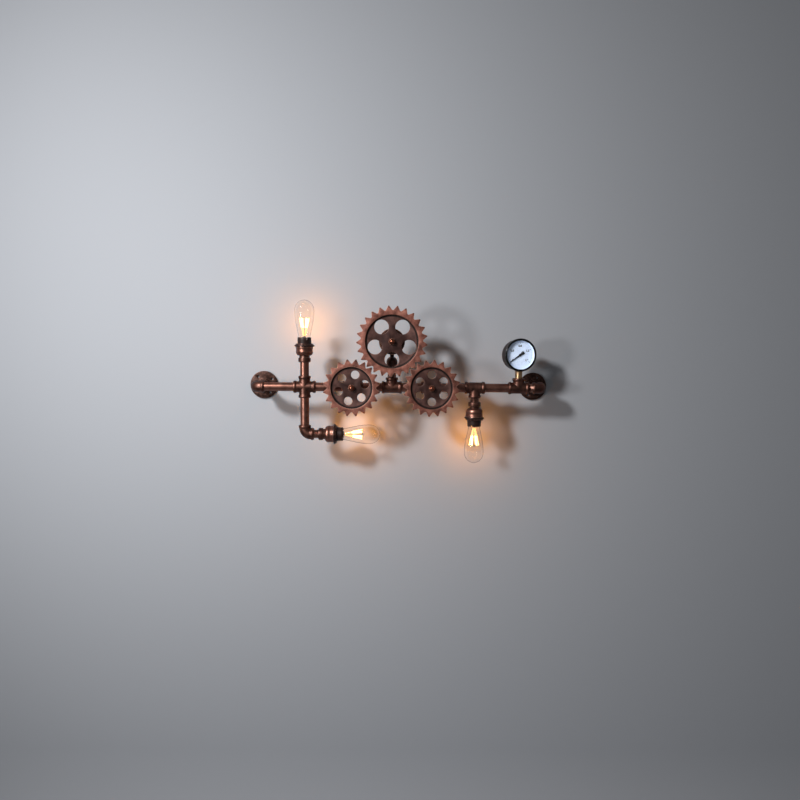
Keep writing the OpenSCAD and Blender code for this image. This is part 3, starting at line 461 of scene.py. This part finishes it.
def bevelHoles(gear, hub, reach):  # rounds the sharp edges of the web's holes and of the dish
    editAll(gear)
    bpy.ops.mesh.select_mode(type="EDGE")
    bpy.ops.mesh.select_all(action="DESELECT")
    bpy.ops.mesh.edges_select_sharp(sharpness=math.radians(gearLook["holeAngle"]))
    bpy.ops.object.mode_set(mode="OBJECT")
    points = gear.data.vertices
    for edge in gear.data.edges:
        spans = [Vector((points[i].co.x - hub.x, points[i].co.z - hub.z)).length for i in edge.vertices]
        edge.select = edge.select and min(spans) > gearLook["hubClear"] * mm and max(spans) < reach
    bpy.ops.object.mode_set(mode="EDIT")
    bpy.ops.mesh.bevel(offset=gearLook["holeBevel"] * mm, segments=4, affect="EDGES")
    bpy.ops.mesh.select_mode(type="VERT")
    bpy.ops.object.mode_set(mode="OBJECT")


for node, joint in gearJoints.items():
    low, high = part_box(node)
    hub = Vector(joints[joint]["pos_m"])
    tip = max(high.x - hub.x, hub.x - low.x, high.z - hub.z, hub.z - low.z)
    dish = tip - (gearLook["rimWall"][node] + gearLook["toothDepth"]) * mm
    gear = copyNode(node, camel(node))
    bevelHoles(gear, hub, dish + gearLook["holeReach"] * mm)
    finished(edgesBroken(gear, gearLook["bevel"]), gearPaint(node + "_copper_paint", hub, dish, tip), node,
             "gear_copper", node)
print("gears made")


# Lampholders and bulbs, modelled once along +Z from the adapter's mouth and copied to the three lamps

lampNames = ("upper", "lower", "hanging")
lamp = {"cupStart": 16, "cupTop": 37, "ringTop": 45, "mouth": 60, "neck": 46.4, "bulbEnd": 151,
        "shellRadius": boxSize("upper_holder_shell").x / 2}  # mm along the lamp, and across its shell


def lampMatrix(which):
    low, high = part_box(which + "_cup")
    middle = (low + high) / 2
    back = lamp["cupStart"] * mm
    places = {"upper": (Vector((middle.x, middle.y, low.z - back)), Matrix.Identity(4)),
              "lower": (Vector((low.x - back, middle.y, middle.z)), Matrix.Rotation(math.pi / 2, 4, "Y")),
              "hanging": (Vector((middle.x, middle.y, high.z + back)), Matrix.Rotation(math.pi, 4, "X"))}
    origin, turn = places[which]
    return Matrix.Translation(origin) @ turn


lampMatrices = {which: lampMatrix(which) for which in lampNames}


def perLamp(model, name, material, slot, node, body="pipe_frame"):
    for which in lampNames:
        piece = copyPlaced(model, which + name, lampMatrices[which])
        finished(piece, material, body.format(which), slot, node.format(which))
    discard(model)


def allLamps(model, name, material, slot, node):
    pieces = [copyPlaced(model, name + which.title(), lampMatrices[which]) for which in lampNames]
    discard(model)
    finished(joined(name, pieces), material, "pipe_frame", slot, node)


def cutAround(model, count, first, place, size):  # boxes in mm, cut in a ring about the lamp's axis
    for k in range(count):
        cutter = turnedBox(first + k * 360 / count, place, size)
        shape(model, "BOOLEAN", operation="DIFFERENCE", object=cutter, solver="EXACT")
        discard(cutter)


# Cup: drawn copper bowl with a rolled bead above its round foot and a lip at its mouth
cup = {"radius": boxSize("upper_cup").x / 2, "wall": 1.7, "round": 7, "footHole": 7.1, "floor": 2,
       "inset": 0.9, "footBead": 1.2, "footBeadUp": 1.6, "wallFrom": 3.4, "wallTo": 4.4, "lipBead": 1.3,
       "lipBeadDown": 2.6, "lipInset": 0.5, "lipFrom": 0.9, "ringGap": 0.1, "innerUp": 1}  # mm
foot, top, bowl, hole = lamp["cupStart"], lamp["cupTop"], cup["round"], cup["footHole"]
side = cup["radius"] - cup["inset"]
inside = cup["radius"] - cup["wall"]
lip = cup["radius"] - cup["lipInset"]
mouth = top - cup["ringGap"]
innerFoot = foot + bowl + cup["innerUp"]
cupOutline = [(hole, foot)]
cupOutline += arcPoints((side - bowl, foot + bowl), bowl, -90, -8, 9)
cupOutline += arcPoints((cup["radius"] - cup["footBead"], foot + bowl + cup["footBeadUp"]), cup["footBead"],
                        -60, 60, 5)
cupOutline += [(side, foot + bowl + cup["wallFrom"]), (side, top - cup["wallTo"])]
cupOutline += arcPoints((cup["radius"] - cup["lipBead"], top - cup["lipBeadDown"]), cup["lipBead"],
                        -60, 60, 5)
cupOutline += [(lip, top - cup["lipFrom"]), (lip, mouth), (inside, mouth), (inside, innerFoot)]
cupOutline += arcPoints((inside - bowl, innerFoot), bowl - cup["innerUp"], -10, -90, 6)
cupOutline += [(hole, foot + cup["floor"]), (hole, foot)]
cupModel = spun("cupModel", cupOutline, steps=72)
perLamp(smoothed(cupModel, angle=50), "Cup", antiqueCopper, "holder_copper", "{}_cup")

# Shade ring: full rounded rim, sloping to the shell, with grip notches on the slope
ring = {"radius": boxSize("shade_rings").y / 2, "shellGap": 0.1, "footInset": 3.4, "rim": 2.0, "rimUp": 2.5,
        "neckInset": 2.6, "neckUp": 5.4, "slopeInset": 3.2, "slopeDown": 1.2, "topRound": 1.0, "topDown": 0.2,
        "grips": 18, "gripWidth": 2.6, "gripDepth": 1.6, "gripHeight": 6, "gripInset": 1.9,
        "gripUp": 0.6}  # mm
foot, top, rim = lamp["cupTop"], lamp["ringTop"], ring["radius"]
hole = lamp["shellRadius"] + ring["shellGap"]
slope = (rim - ring["slopeInset"], top - ring["slopeDown"])
ringOutline = [(hole, foot), (rim - ring["footInset"], foot)]
ringOutline += arcPoints((rim - ring["rim"], foot + ring["rimUp"]), ring["rim"], -65, 62, 9)
ringOutline += [(rim - ring["neckInset"], foot + ring["neckUp"]), slope]
ringOutline += arcPoints((slope[0] - ring["topRound"], slope[1]), ring["topRound"], 10, 90, 4)
ringOutline += [(hole, top - ring["topDown"]), (hole, foot)]
ringModel = spun("ringModel", ringOutline, steps=96)
cutAround(ringModel, ring["grips"], 0, (rim - ring["gripInset"], 0, top + ring["gripUp"]),
          (2 * ring["gripDepth"], ring["gripWidth"], ring["gripHeight"]))
allLamps(smoothed(ringModel, angle=45), "shadeRings", ringBronze, "holder_copper", "shade_rings")

# Black shell: moulded thread for the shade ring, plain lip and four notches at its mouth
shell = {"hole": 14.6, "foot": 24, "lip": 7, "bodyInset": 0.4, "thread": 0.75, "pitch": 2.2, "turns": 4,
         "lipInset": 0.5, "lipUp": 0.2, "outerEdge": (0.5, 0.6), "innerEdge": (0.3, 0.4), "notches": 4,
         "firstNotch": 30, "notchWidth": 3.5, "notchDepth": 6, "notchReach": 8}  # mm and degrees
outer, hole, mouth = lamp["shellRadius"], shell["hole"], lamp["mouth"]
foot, pitch, turns = shell["foot"], shell["pitch"], shell["turns"]
threadTop = mouth - shell["lip"]
lip = outer - shell["lipInset"]
shellOutline = [(hole, foot), (outer - shell["bodyInset"], foot),
                (outer - shell["bodyInset"], threadTop - turns * pitch)]
for k in range(turns):
    middle = threadTop - (turns - k - 0.5) * pitch
    shellOutline += arcPoints((outer - shell["thread"], middle), shell["thread"], -80, 80, 6)
shellOutline += [(lip, threadTop + shell["lipUp"]), (lip, mouth - shell["outerEdge"][1]),
                 (lip - shell["outerEdge"][0], mouth), (hole + shell["innerEdge"][0], mouth),
                 (hole, mouth - shell["innerEdge"][1]), (hole, foot)]
shellModel = spun("shellModel", shellOutline, steps=96)
cutAround(shellModel, shell["notches"], shell["firstNotch"], (outer, 0, mouth),
          (shell["notchReach"], shell["notchWidth"], 2 * shell["notchDepth"]))
perLamp(smoothed(shellModel, angle=40), "HolderShell", mouldedBlack, "holder_black", "{}_holder_shell")
print("lampholders made")

# Bulb glass: straight neck, long flare and round end
glass = {"neckRadius": 13.3, "radius": boxSize("upper_bulb_glass").x / 2, "wall": 0.9, "neckRound": 1.2,
         "flareBack": 3, "flarePower": 1.25, "widest": 125, "flareSteps": 22, "domeSteps": 14}  # mm
flareStart = lamp["mouth"] - glass["flareBack"]
flareLength = glass["widest"] - flareStart
domeLength = lamp["bulbEnd"] - glass["widest"]
glassOutline = [(0, lamp["neck"]), (glass["neckRadius"] - glass["neckRound"], lamp["neck"]),
                (glass["neckRadius"], lamp["neck"] + glass["neckRound"])]
for i in range(glass["flareSteps"] + 1):
    along = i / glass["flareSteps"]
    swell = math.sin(along * math.pi / 2) ** glass["flarePower"]
    glassOutline.append((glass["neckRadius"] + (glass["radius"] - glass["neckRadius"]) * swell,
                         flareStart + flareLength * along))
for i in range(1, glass["domeSteps"] + 1):
    turn = math.pi / 2 * i / glass["domeSteps"]
    glassOutline.append((glass["radius"] * math.cos(turn), glass["widest"] + domeLength * math.sin(turn)))
glassModel = spun("glassModel", glassOutline, steps=64)
shape(glassModel, "SOLIDIFY", thickness=glass["wall"] * mm, offset=-1)
perLamp(smoothed(glassModel, angle=60), "BulbGlass", bulbGlass, "clear_glass", "{}_bulb_glass", "{}_bulb")
for which in lampNames:
    bulb = bpy.data.objects[which + "BulbGlass"]
    bulb.visible_shadow = False  # lets the bulb's own light out
    bulb.visible_diffuse = False

# Filaments: pressed glass stem, centre wire, spokes and a cage of lit strands
cage = {"strands": 6, "strandRadius": 1.15, "inner": 2.6, "outer": 11.5, "start": 64, "end": 107,
        "litFrom": 0.45, "wire": 0.35, "centreWire": 0.56, "leadIn": 0.49, "rodSides": 12, "rodSoftness": 0.5,
        "rodAngle": 60, "footDrop": 3, "footRadius": 1.2, "spokeUp": 1, "centreUp": 2}  # mm and degrees
stem = {"up": 1.2, "flare": 9, "flareEdge": 0.6, "flareThick": 1, "flareLength": 9, "flareUp": 2,
        "flareSteps": 6, "radius": 3.2, "swell": 4.5, "neckInset": 0.6, "tip": 2.2, "tipDrop": 2.6}  # mm
stemFoot = lamp["neck"] + stem["up"]
stemOutline = [(0, stemFoot), (stem["flare"], stemFoot),
               (stem["flare"] - stem["flareEdge"], stemFoot + stem["flareThick"])]
for i in range(stem["flareSteps"] + 1):
    along = i / stem["flareSteps"]
    stemOutline.append((stem["radius"] + stem["swell"] * (1 - along) ** 2,
                        stemFoot + stem["flareUp"] + stem["flareLength"] * along))
stemOutline.append((stem["radius"] - stem["neckInset"], cage["start"] - cage["footDrop"]))
stemOutline += arcPoints((0, cage["start"] - stem["tipDrop"]), stem["tip"], 0, 90, 6)
stemModel = spun("stemModel", stemOutline, steps=32)


def rod(name, start, end, radius):  # round rod with softened ends, in mm
    start, end = Vector(start) * mm, Vector(end) * mm
    along = end - start
    bpy.ops.object.select_all(action="DESELECT")
    bpy.ops.mesh.primitive_cylinder_add(vertices=cage["rodSides"], radius=radius * mm, depth=along.length)
    piece = bpy.context.active_object
    piece.name = name
    shape(piece, "BEVEL", width=radius * cage["rodSoftness"] * mm, segments=2, limit_method="ANGLE",
          angle_limit=math.radians(cage["rodAngle"]))
    turn = along.to_track_quat("Z", "Y").to_matrix().to_4x4()
    piece.data.transform(Matrix.Translation((start + end) / 2) @ turn)
    piece.matrix_world = Matrix.Identity(4)
    return piece


def onAxis(height):
    return Vector((0, 0, height))


cageFoot = onAxis(cage["start"] - cage["footDrop"])
wires = [rod("centreWire", cageFoot, onAxis(cage["end"] + cage["centreUp"]), cage["centreWire"])]
strands, leadIns = [], []
for k in range(cage["strands"]):
    turn = 2 * math.pi * k / cage["strands"]
    aim = Vector((math.cos(turn), math.sin(turn), 0))
    near = aim * cage["inner"] + onAxis(cage["start"])
    far = aim * cage["outer"] + onAxis(cage["end"])
    lit = near.lerp(far, cage["litFrom"])
    strands.append(rod("strand", lit, far, cage["strandRadius"]))
    leadIns.append(rod("leadIn", near, lit, cage["leadIn"]))
    wires.append(rod("spoke", far, onAxis(cage["end"] + cage["spokeUp"]), cage["wire"]))
    wires.append(rod("foot", near, aim * cage["footRadius"] + cageFoot, cage["wire"]))
cageParts = {stemGlass: stemModel, turnedSteel: joined("wires", wires), leadGlow: joined("leadIns", leadIns),
             filamentGlow: joined("strands", strands)}
for material, piece in cageParts.items():
    piece.data.materials.clear()
    piece.data.materials.append(material)
cageModel = smoothed(joined("cageModel", list(cageParts.values())), angle=40)
perLamp(cageModel, "BulbFilament", filamentGlow, "lit_filament", "{}_bulb_filament", "{}_bulb")
print("bulbs made")


# Gauge: rolled bezel, printed scale and flat glass. Its own +Z points out of the dial

upward = Vector((0, 0, 1))
dialOut = -Vector(joints["pointer_turn"]["axis"]).normalized()
gaugeMatrix = Matrix((upward.cross(dialOut), upward, dialOut)).transposed().to_4x4()
gaugeMatrix.translation = Vector(joints["pointer_turn"]["pos_m"])


def alongDial(node):  # lowest and highest place of a node along the dial's axis, in mm
    spans = [(point.co - gaugeMatrix.translation).dot(dialOut) / mm for point in nodes[node].data.vertices]
    return min(spans), max(spans)


def acrossDial(node):  # least and greatest distance of a node from the dial's axis, in mm
    spans = [(point.co - gaugeMatrix.translation).cross(dialOut).length / mm
             for point in nodes[node].data.vertices]
    return min(spans), max(spans)


bezel = {"caseGap": 0.1, "skirtEdge": 0.6, "round": 2.6, "roundDown": 3.0, "lipWidth": 1.2, "lipDown": 0.4,
         "lipEdgeDown": 1.4, "windowGap": 0.05}  # mm
lipHole, bezelRadius = acrossDial("gauge_bezel")
skirtBack, bezelFront = alongDial("gauge_bezel")
caseRadius = acrossDial("gauge_case")[1]
dialFront = alongDial("gauge_dial")[1]
skirtHole = caseRadius + bezel["caseGap"]
lipBack = alongDial("gauge_window")[1] + bezel["windowGap"]
bezelOutline = [(skirtHole, skirtBack), (bezelRadius - bezel["skirtEdge"], skirtBack),
                (bezelRadius, skirtBack + bezel["skirtEdge"]), (bezelRadius, bezelFront - bezel["roundDown"])]
bezelOutline += arcPoints((bezelRadius - bezel["round"], bezelFront - bezel["round"]), bezel["round"],
                          0, 90, 10)
bezelOutline += [(lipHole + bezel["lipWidth"], bezelFront - bezel["lipDown"]),
                 (lipHole, bezelFront - bezel["lipEdgeDown"]), (lipHole, lipBack), (skirtHole, lipBack),
                 (skirtHole, skirtBack)]
gaugeBezel = spun("gaugeBezel", bezelOutline, steps=96)
gaugeBezel.data.transform(gaugeMatrix)
finished(smoothed(gaugeBezel, angle=40), blackEnamel, "pipe_frame", "gauge_black", "gauge_bezel")

# Case: its inner wall takes the dial's white enamel, a painted reflection of light on that wall
caseLook = {"skin": 1, "facing": 0.7}  # mm inside the case, and how squarely a face looks at the axis
gaugeCase = bpy.data.objects["gaugeCase"]
gaugeCase.data.materials.append(dialEnamel)
for face in gaugeCase.data.polygons:
    outward = face.center - gaugeMatrix.translation
    outward -= outward.dot(dialOut) * dialOut
    within = outward.length < (caseRadius - caseLook["skin"]) * mm
    if within and face.normal.dot(outward) < -caseLook["facing"] * outward.length:
        face.material_index = 1

# Scale: printed marks and numbers on the dial
scale = {"rest": 215, "sweep": 250, "marks": 40, "majorEvery": 10, "outer": 31.8, "majorInner": 27.0,
         "halfInner": 28.8, "minorInner": 29.8, "majorWidth": 0.9, "minorWidth": 0.5, "depth": 0.06,
         "numbers": ("0", "0.4", "0.8", "1.2", "1.6"), "numberRing": 22, "numberSize": 6.8,
         "numberWeight": 0.42}  # degrees and mm
printHeight = dialFront + scale["depth"] / 2
printPieces = []
for k in range(scale["marks"] + 1):
    inner, width = scale["minorInner"], scale["minorWidth"]
    if k % scale["majorEvery"] == 0:
        inner, width = scale["majorInner"], scale["majorWidth"]
    elif k % (scale["majorEvery"] // 2) == 0:
        inner = scale["halfInner"]
    angle = scale["rest"] - scale["sweep"] * k / scale["marks"]
    printPieces.append(turnedBox(angle, ((inner + scale["outer"]) / 2, 0, printHeight),
                                 (scale["outer"] - inner, width, scale["depth"])))
for k, number in enumerate(scale["numbers"]):
    angle = math.radians(scale["rest"] - scale["sweep"] * k / (len(scale["numbers"]) - 1))
    bpy.ops.object.select_all(action="DESELECT")
    bpy.ops.object.text_add()
    words = bpy.context.active_object.data
    words.body = number
    words.align_x = "CENTER"
    words.align_y = "CENTER"
    words.size = scale["numberSize"] * mm
    words.offset = scale["numberWeight"] * mm
    words.extrude = scale["depth"] / 2 * mm
    bpy.ops.object.convert(target="MESH")
    figure = bpy.context.active_object
    place = Vector((scale["numberRing"] * math.cos(angle), scale["numberRing"] * math.sin(angle),
                    printHeight))
    figure.data.transform(Matrix.Translation(place * mm))
    printPieces.append(figure)
scalePrint = joined("dialScale", printPieces)
scalePrint.data.transform(gaugeMatrix)
scalePrint.data.materials.clear()
finished(scalePrint, dialInk, "pipe_frame", "dial_white")
print("gauge made")


# Leads: sleeved wires inside the pipes, in the places that the CAD gives them

leadLook = {"radius": 1.7, "sleeveShare": 0.98, "bend": 10, "bendSteps": 6, "side": 2.2, "rise": 2,
            "wallEnd": -1, "intoHolder": 18}  # mm


def roundedRoute(points, bend):
    route = [points[0]]
    for before, corner, after in zip(points, points[1:], points[2:]):
        back, onward = (before - corner).normalized(), (after - corner).normalized()
        for i in range(leadLook["bendSteps"] + 1):
            turn = math.pi / 2 * i / leadLook["bendSteps"]
            route.append(corner + bend * ((1 - math.sin(turn)) * back + (1 - math.cos(turn)) * onward))
    return route + [points[-1]]


def leadTube(name, points):
    route = roundedRoute([Vector(point) * mm for point in points], leadLook["bend"] * mm)
    curve = bpy.data.curves.new(name, "CURVE")
    curve.dimensions = "3D"
    curve.bevel_depth = leadLook["radius"] * leadLook["sleeveShare"] * mm
    curve.bevel_resolution = 4
    curve.use_fill_caps = True
    line = curve.splines.new("POLY")
    line.points.add(len(route) - 1)
    for point, place in zip(line.points, route):
        point.co = (*place, 1)
    piece = bpy.data.objects.new(name, curve)
    scene.collection.objects.link(piece)
    onlyActive(piece)
    bpy.ops.object.convert(target="MESH")
    return bpy.context.active_object


crossLow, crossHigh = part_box("pipe_cross")
lampTeeLow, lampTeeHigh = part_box("lamp_tee")
side, rise, wallEnd = leadLook["side"], leadLook["rise"], leadLook["wallEnd"]
crossX = (crossLow.x + crossHigh.x) / 2 / mm
mainY = (crossLow.y + crossHigh.y) / 2 / mm
lampX = (lampTeeLow.x + lampTeeHigh.x) / 2 / mm
lowZ = lampMatrices["lower"].translation.z / mm
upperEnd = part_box("lamp_leads")[1].z / mm
lowerEnd = lampMatrices["lower"].translation.x / mm + leadLook["intoHolder"]
hangingEnd = lampMatrices["hanging"].translation.z / mm - leadLook["intoHolder"]
inY, outY, riseX = mainY + side, mainY - side, crossX - rise
leads = [
    leadTube("upperLead", [(side, wallEnd, rise), (side, inY, rise), (riseX, inY, rise),
                           (riseX, inY, upperEnd)]),
    leadTube("lowerLead", [(side, wallEnd, -rise), (side, inY, -rise), (riseX, inY, -rise),
                           (riseX, inY, lowZ - rise), (lowerEnd, inY, lowZ - rise)]),
    leadTube("hangingLead", [(-side, wallEnd, 0), (-side, outY, 0), (lampX, outY, 0),
                             (lampX, outY, hangingEnd)])]
lampLeads = smoothed(joined("lampLeads", leads), angle=50)
finished(lampLeads, braidedSleeve, "pipe_frame", "lead_sleeve", "lamp_leads")
print("leads made")


# CAD nodes that keep their own shape

keptNodes = {
    antiqueCopper: ["left_pipe", "cross_pipe", "left_gear_pipe", "right_gear_pipe", "lamp_pipe", "gauge_pipe",
                    "upper_pipe", "drop_pipe", "pipe_nipples"],
    darkIron: ["riser_rod", "gear_washers"],
    turnedSteel: ["gear_studs"],
    agedBrass: ["screw_shells", "gauge_movement", "gauge_sector", "gauge_bourdon_tube", "upper_bulb_cap",
                "lower_bulb_cap", "hanging_bulb_cap"],
    glazedCeramic: ["contact_bases"],
    windowGlass: ["gauge_window"],
    dialEnamel: ["gauge_dial"],
}
for material, names in keptNodes.items():
    for name in names:
        for place in nodes[name].material_slots:
            place.material = material
nodes["gauge_window"].visible_shadow = False
print("kept nodes finished")


# Stage: a pale wall just behind the lamp that runs round into a pale floor

stageLook = {"halfWidth": 8.0, "top": 4.0, "floor": -1.35, "depth": 8.0, "cove": 0.35, "coveSteps": 8,
             "behind": 0.0006, "wall": "#aeb1b7", "rough": 0.85}  # metres
section = [(stageLook["behind"], stageLook["top"])]
for i in range(stageLook["coveSteps"] + 1):
    turn = math.pi / 2 * i / stageLook["coveSteps"]
    section.append((stageLook["behind"] - stageLook["cove"] * (1 - math.cos(turn)),
                    stageLook["floor"] + stageLook["cove"] * (1 - math.sin(turn))))
section.append((-stageLook["depth"], stageLook["floor"]))
lampMiddle = (cadBox[0] + cadBox[1]) / 2
ends = (lampMiddle.x - stageLook["halfWidth"], lampMiddle.x + stageLook["halfWidth"])
coveMesh = bpy.data.meshes.new("paleCove")
coveMesh.from_pydata([(x, y, z) for y, z in section for x in ends], [],
                     [(2 * i, 2 * i + 2, 2 * i + 3, 2 * i + 1) for i in range(len(section) - 1)])
cove = bpy.data.objects.new("paleCove", coveMesh)
scene.collection.objects.link(cove)
smoothed(cove, angle=60)
wallPaint, wallShader = newMaterial("matt_wall_paint", Roughness=stageLook["rough"],
                                    Base_Color=hexColor(stageLook["wall"]))
seen = addNode(wallPaint, "LightPath")
facing = addNode(wallPaint, "NewGeometry")
fromBehind = addNode(wallPaint, "Math", {0: seen.outputs["Is Camera Ray"], 1: facing.outputs["Backfacing"]},
                     operation="MULTIPLY")
clear = addNode(wallPaint, "BsdfTransparent")  # from behind, the wall lets the lamp's back show
choose = addNode(wallPaint, "MixShader", {0: fromBehind.outputs["Value"], 1: wallShader.outputs["BSDF"],
                                          2: clear.outputs["BSDF"]})
wallNodes = wallPaint.node_tree
wallNodes.links.new(choose.outputs["Shader"], wallNodes.nodes["Material Output"].inputs["Surface"])
cove.data.materials.append(wallPaint)


# Light: a soft key from the upper left, a low side light for the upright pipes, a weak fill and the bulbs

areaLights = {  # metres, watts and degrees
    "keyLight": {"place": (-0.85, -1.6, 0.98), "aim": (0.1, 0, 0.02),
                 "size": 0.24, "power": 14, "spread": 110},
    "sideLight": {"place": (-0.95, -1.5, 0.05), "aim": (0.1, 0, 0.0),
                  "size": 0.24, "power": 3.6, "spread": 110},
    "fillLight": {"place": (1.9, -1.8, 0.5), "aim": lampMiddle,
                  "size": 1.6, "power": 0.6, "spread": 180},
}
for name, look in areaLights.items():
    light = bpy.data.lights.new(name, "AREA")
    light.size = look["size"]
    light.energy = look["power"]
    light.spread = math.radians(look["spread"])
    lightObject = bpy.data.objects.new(name, light)
    lightObject.location = look["place"]
    towards = Vector(look["aim"]) - Vector(look["place"])
    lightObject.rotation_euler = towards.to_track_quat("-Z", "Y").to_euler()
    scene.collection.objects.link(lightObject)

bulbGlow = {"power": 0.3, "radius": 12, "color": "#ff9c14", "along": 100, "behind": 32}  # mm, behind the cage
for which in lampNames:
    glow = bpy.data.lights.new(which + "Glow", "POINT")
    glow.energy = bulbGlow["power"]
    glow.shadow_soft_size = bulbGlow["radius"] * mm
    glow.color = hexColor(bulbGlow["color"])[:3]
    glowObject = bpy.data.objects.new(which + "Glow", glow)
    glowObject.location = lampMatrices[which] @ onAxis(bulbGlow["along"] * mm)
    glowObject.location.y += bulbGlow["behind"] * mm
    glowObject.visible_camera = False
    glowObject.visible_glossy = False
    glowObject.visible_transmission = False
    scene.collection.objects.link(glowObject)

studio = {"color": "#f2f2f2", "strength": 0.13}
world = bpy.data.worlds.new("studio")
world.use_nodes = True
background = world.node_tree.nodes["Background"]
background.inputs["Color"].default_value = hexColor(studio["color"])
background.inputs["Strength"].default_value = studio["strength"]
scene.world = world
scene.view_settings.view_transform = "Standard"
print("stage and lights set")


# Camera at the photograph's angle

photoCamera = {"place": (345.5, -1532.3, 75.0), "yaw": 0.33, "pitch": -4.23, "roll": -0.4,
               "focalPixels": 586, "imagePixels": 800, "sensor": 36, "nearest": 50, "farthest": 30000}  # mm
cameraData = bpy.data.cameras.new("photoCamera")
cameraData.sensor_width = photoCamera["sensor"]
cameraData.lens = photoCamera["focalPixels"] / photoCamera["imagePixels"] * photoCamera["sensor"]
cameraData.clip_start = photoCamera["nearest"] * mm
cameraData.clip_end = photoCamera["farthest"] * mm
camera = bpy.data.objects.new("photoCamera", cameraData)
camera.location = Vector(photoCamera["place"]) * mm
camera.rotation_euler = (Matrix.Rotation(math.radians(-photoCamera["yaw"]), 4, "Z")
                         @ Matrix.Rotation(math.radians(90 + photoCamera["pitch"]), 4, "X")
                         @ Matrix.Rotation(math.radians(-photoCamera["roll"]), 4, "Z")).to_euler()
scene.collection.objects.link(camera)
scene.camera = camera

print("scene ready")
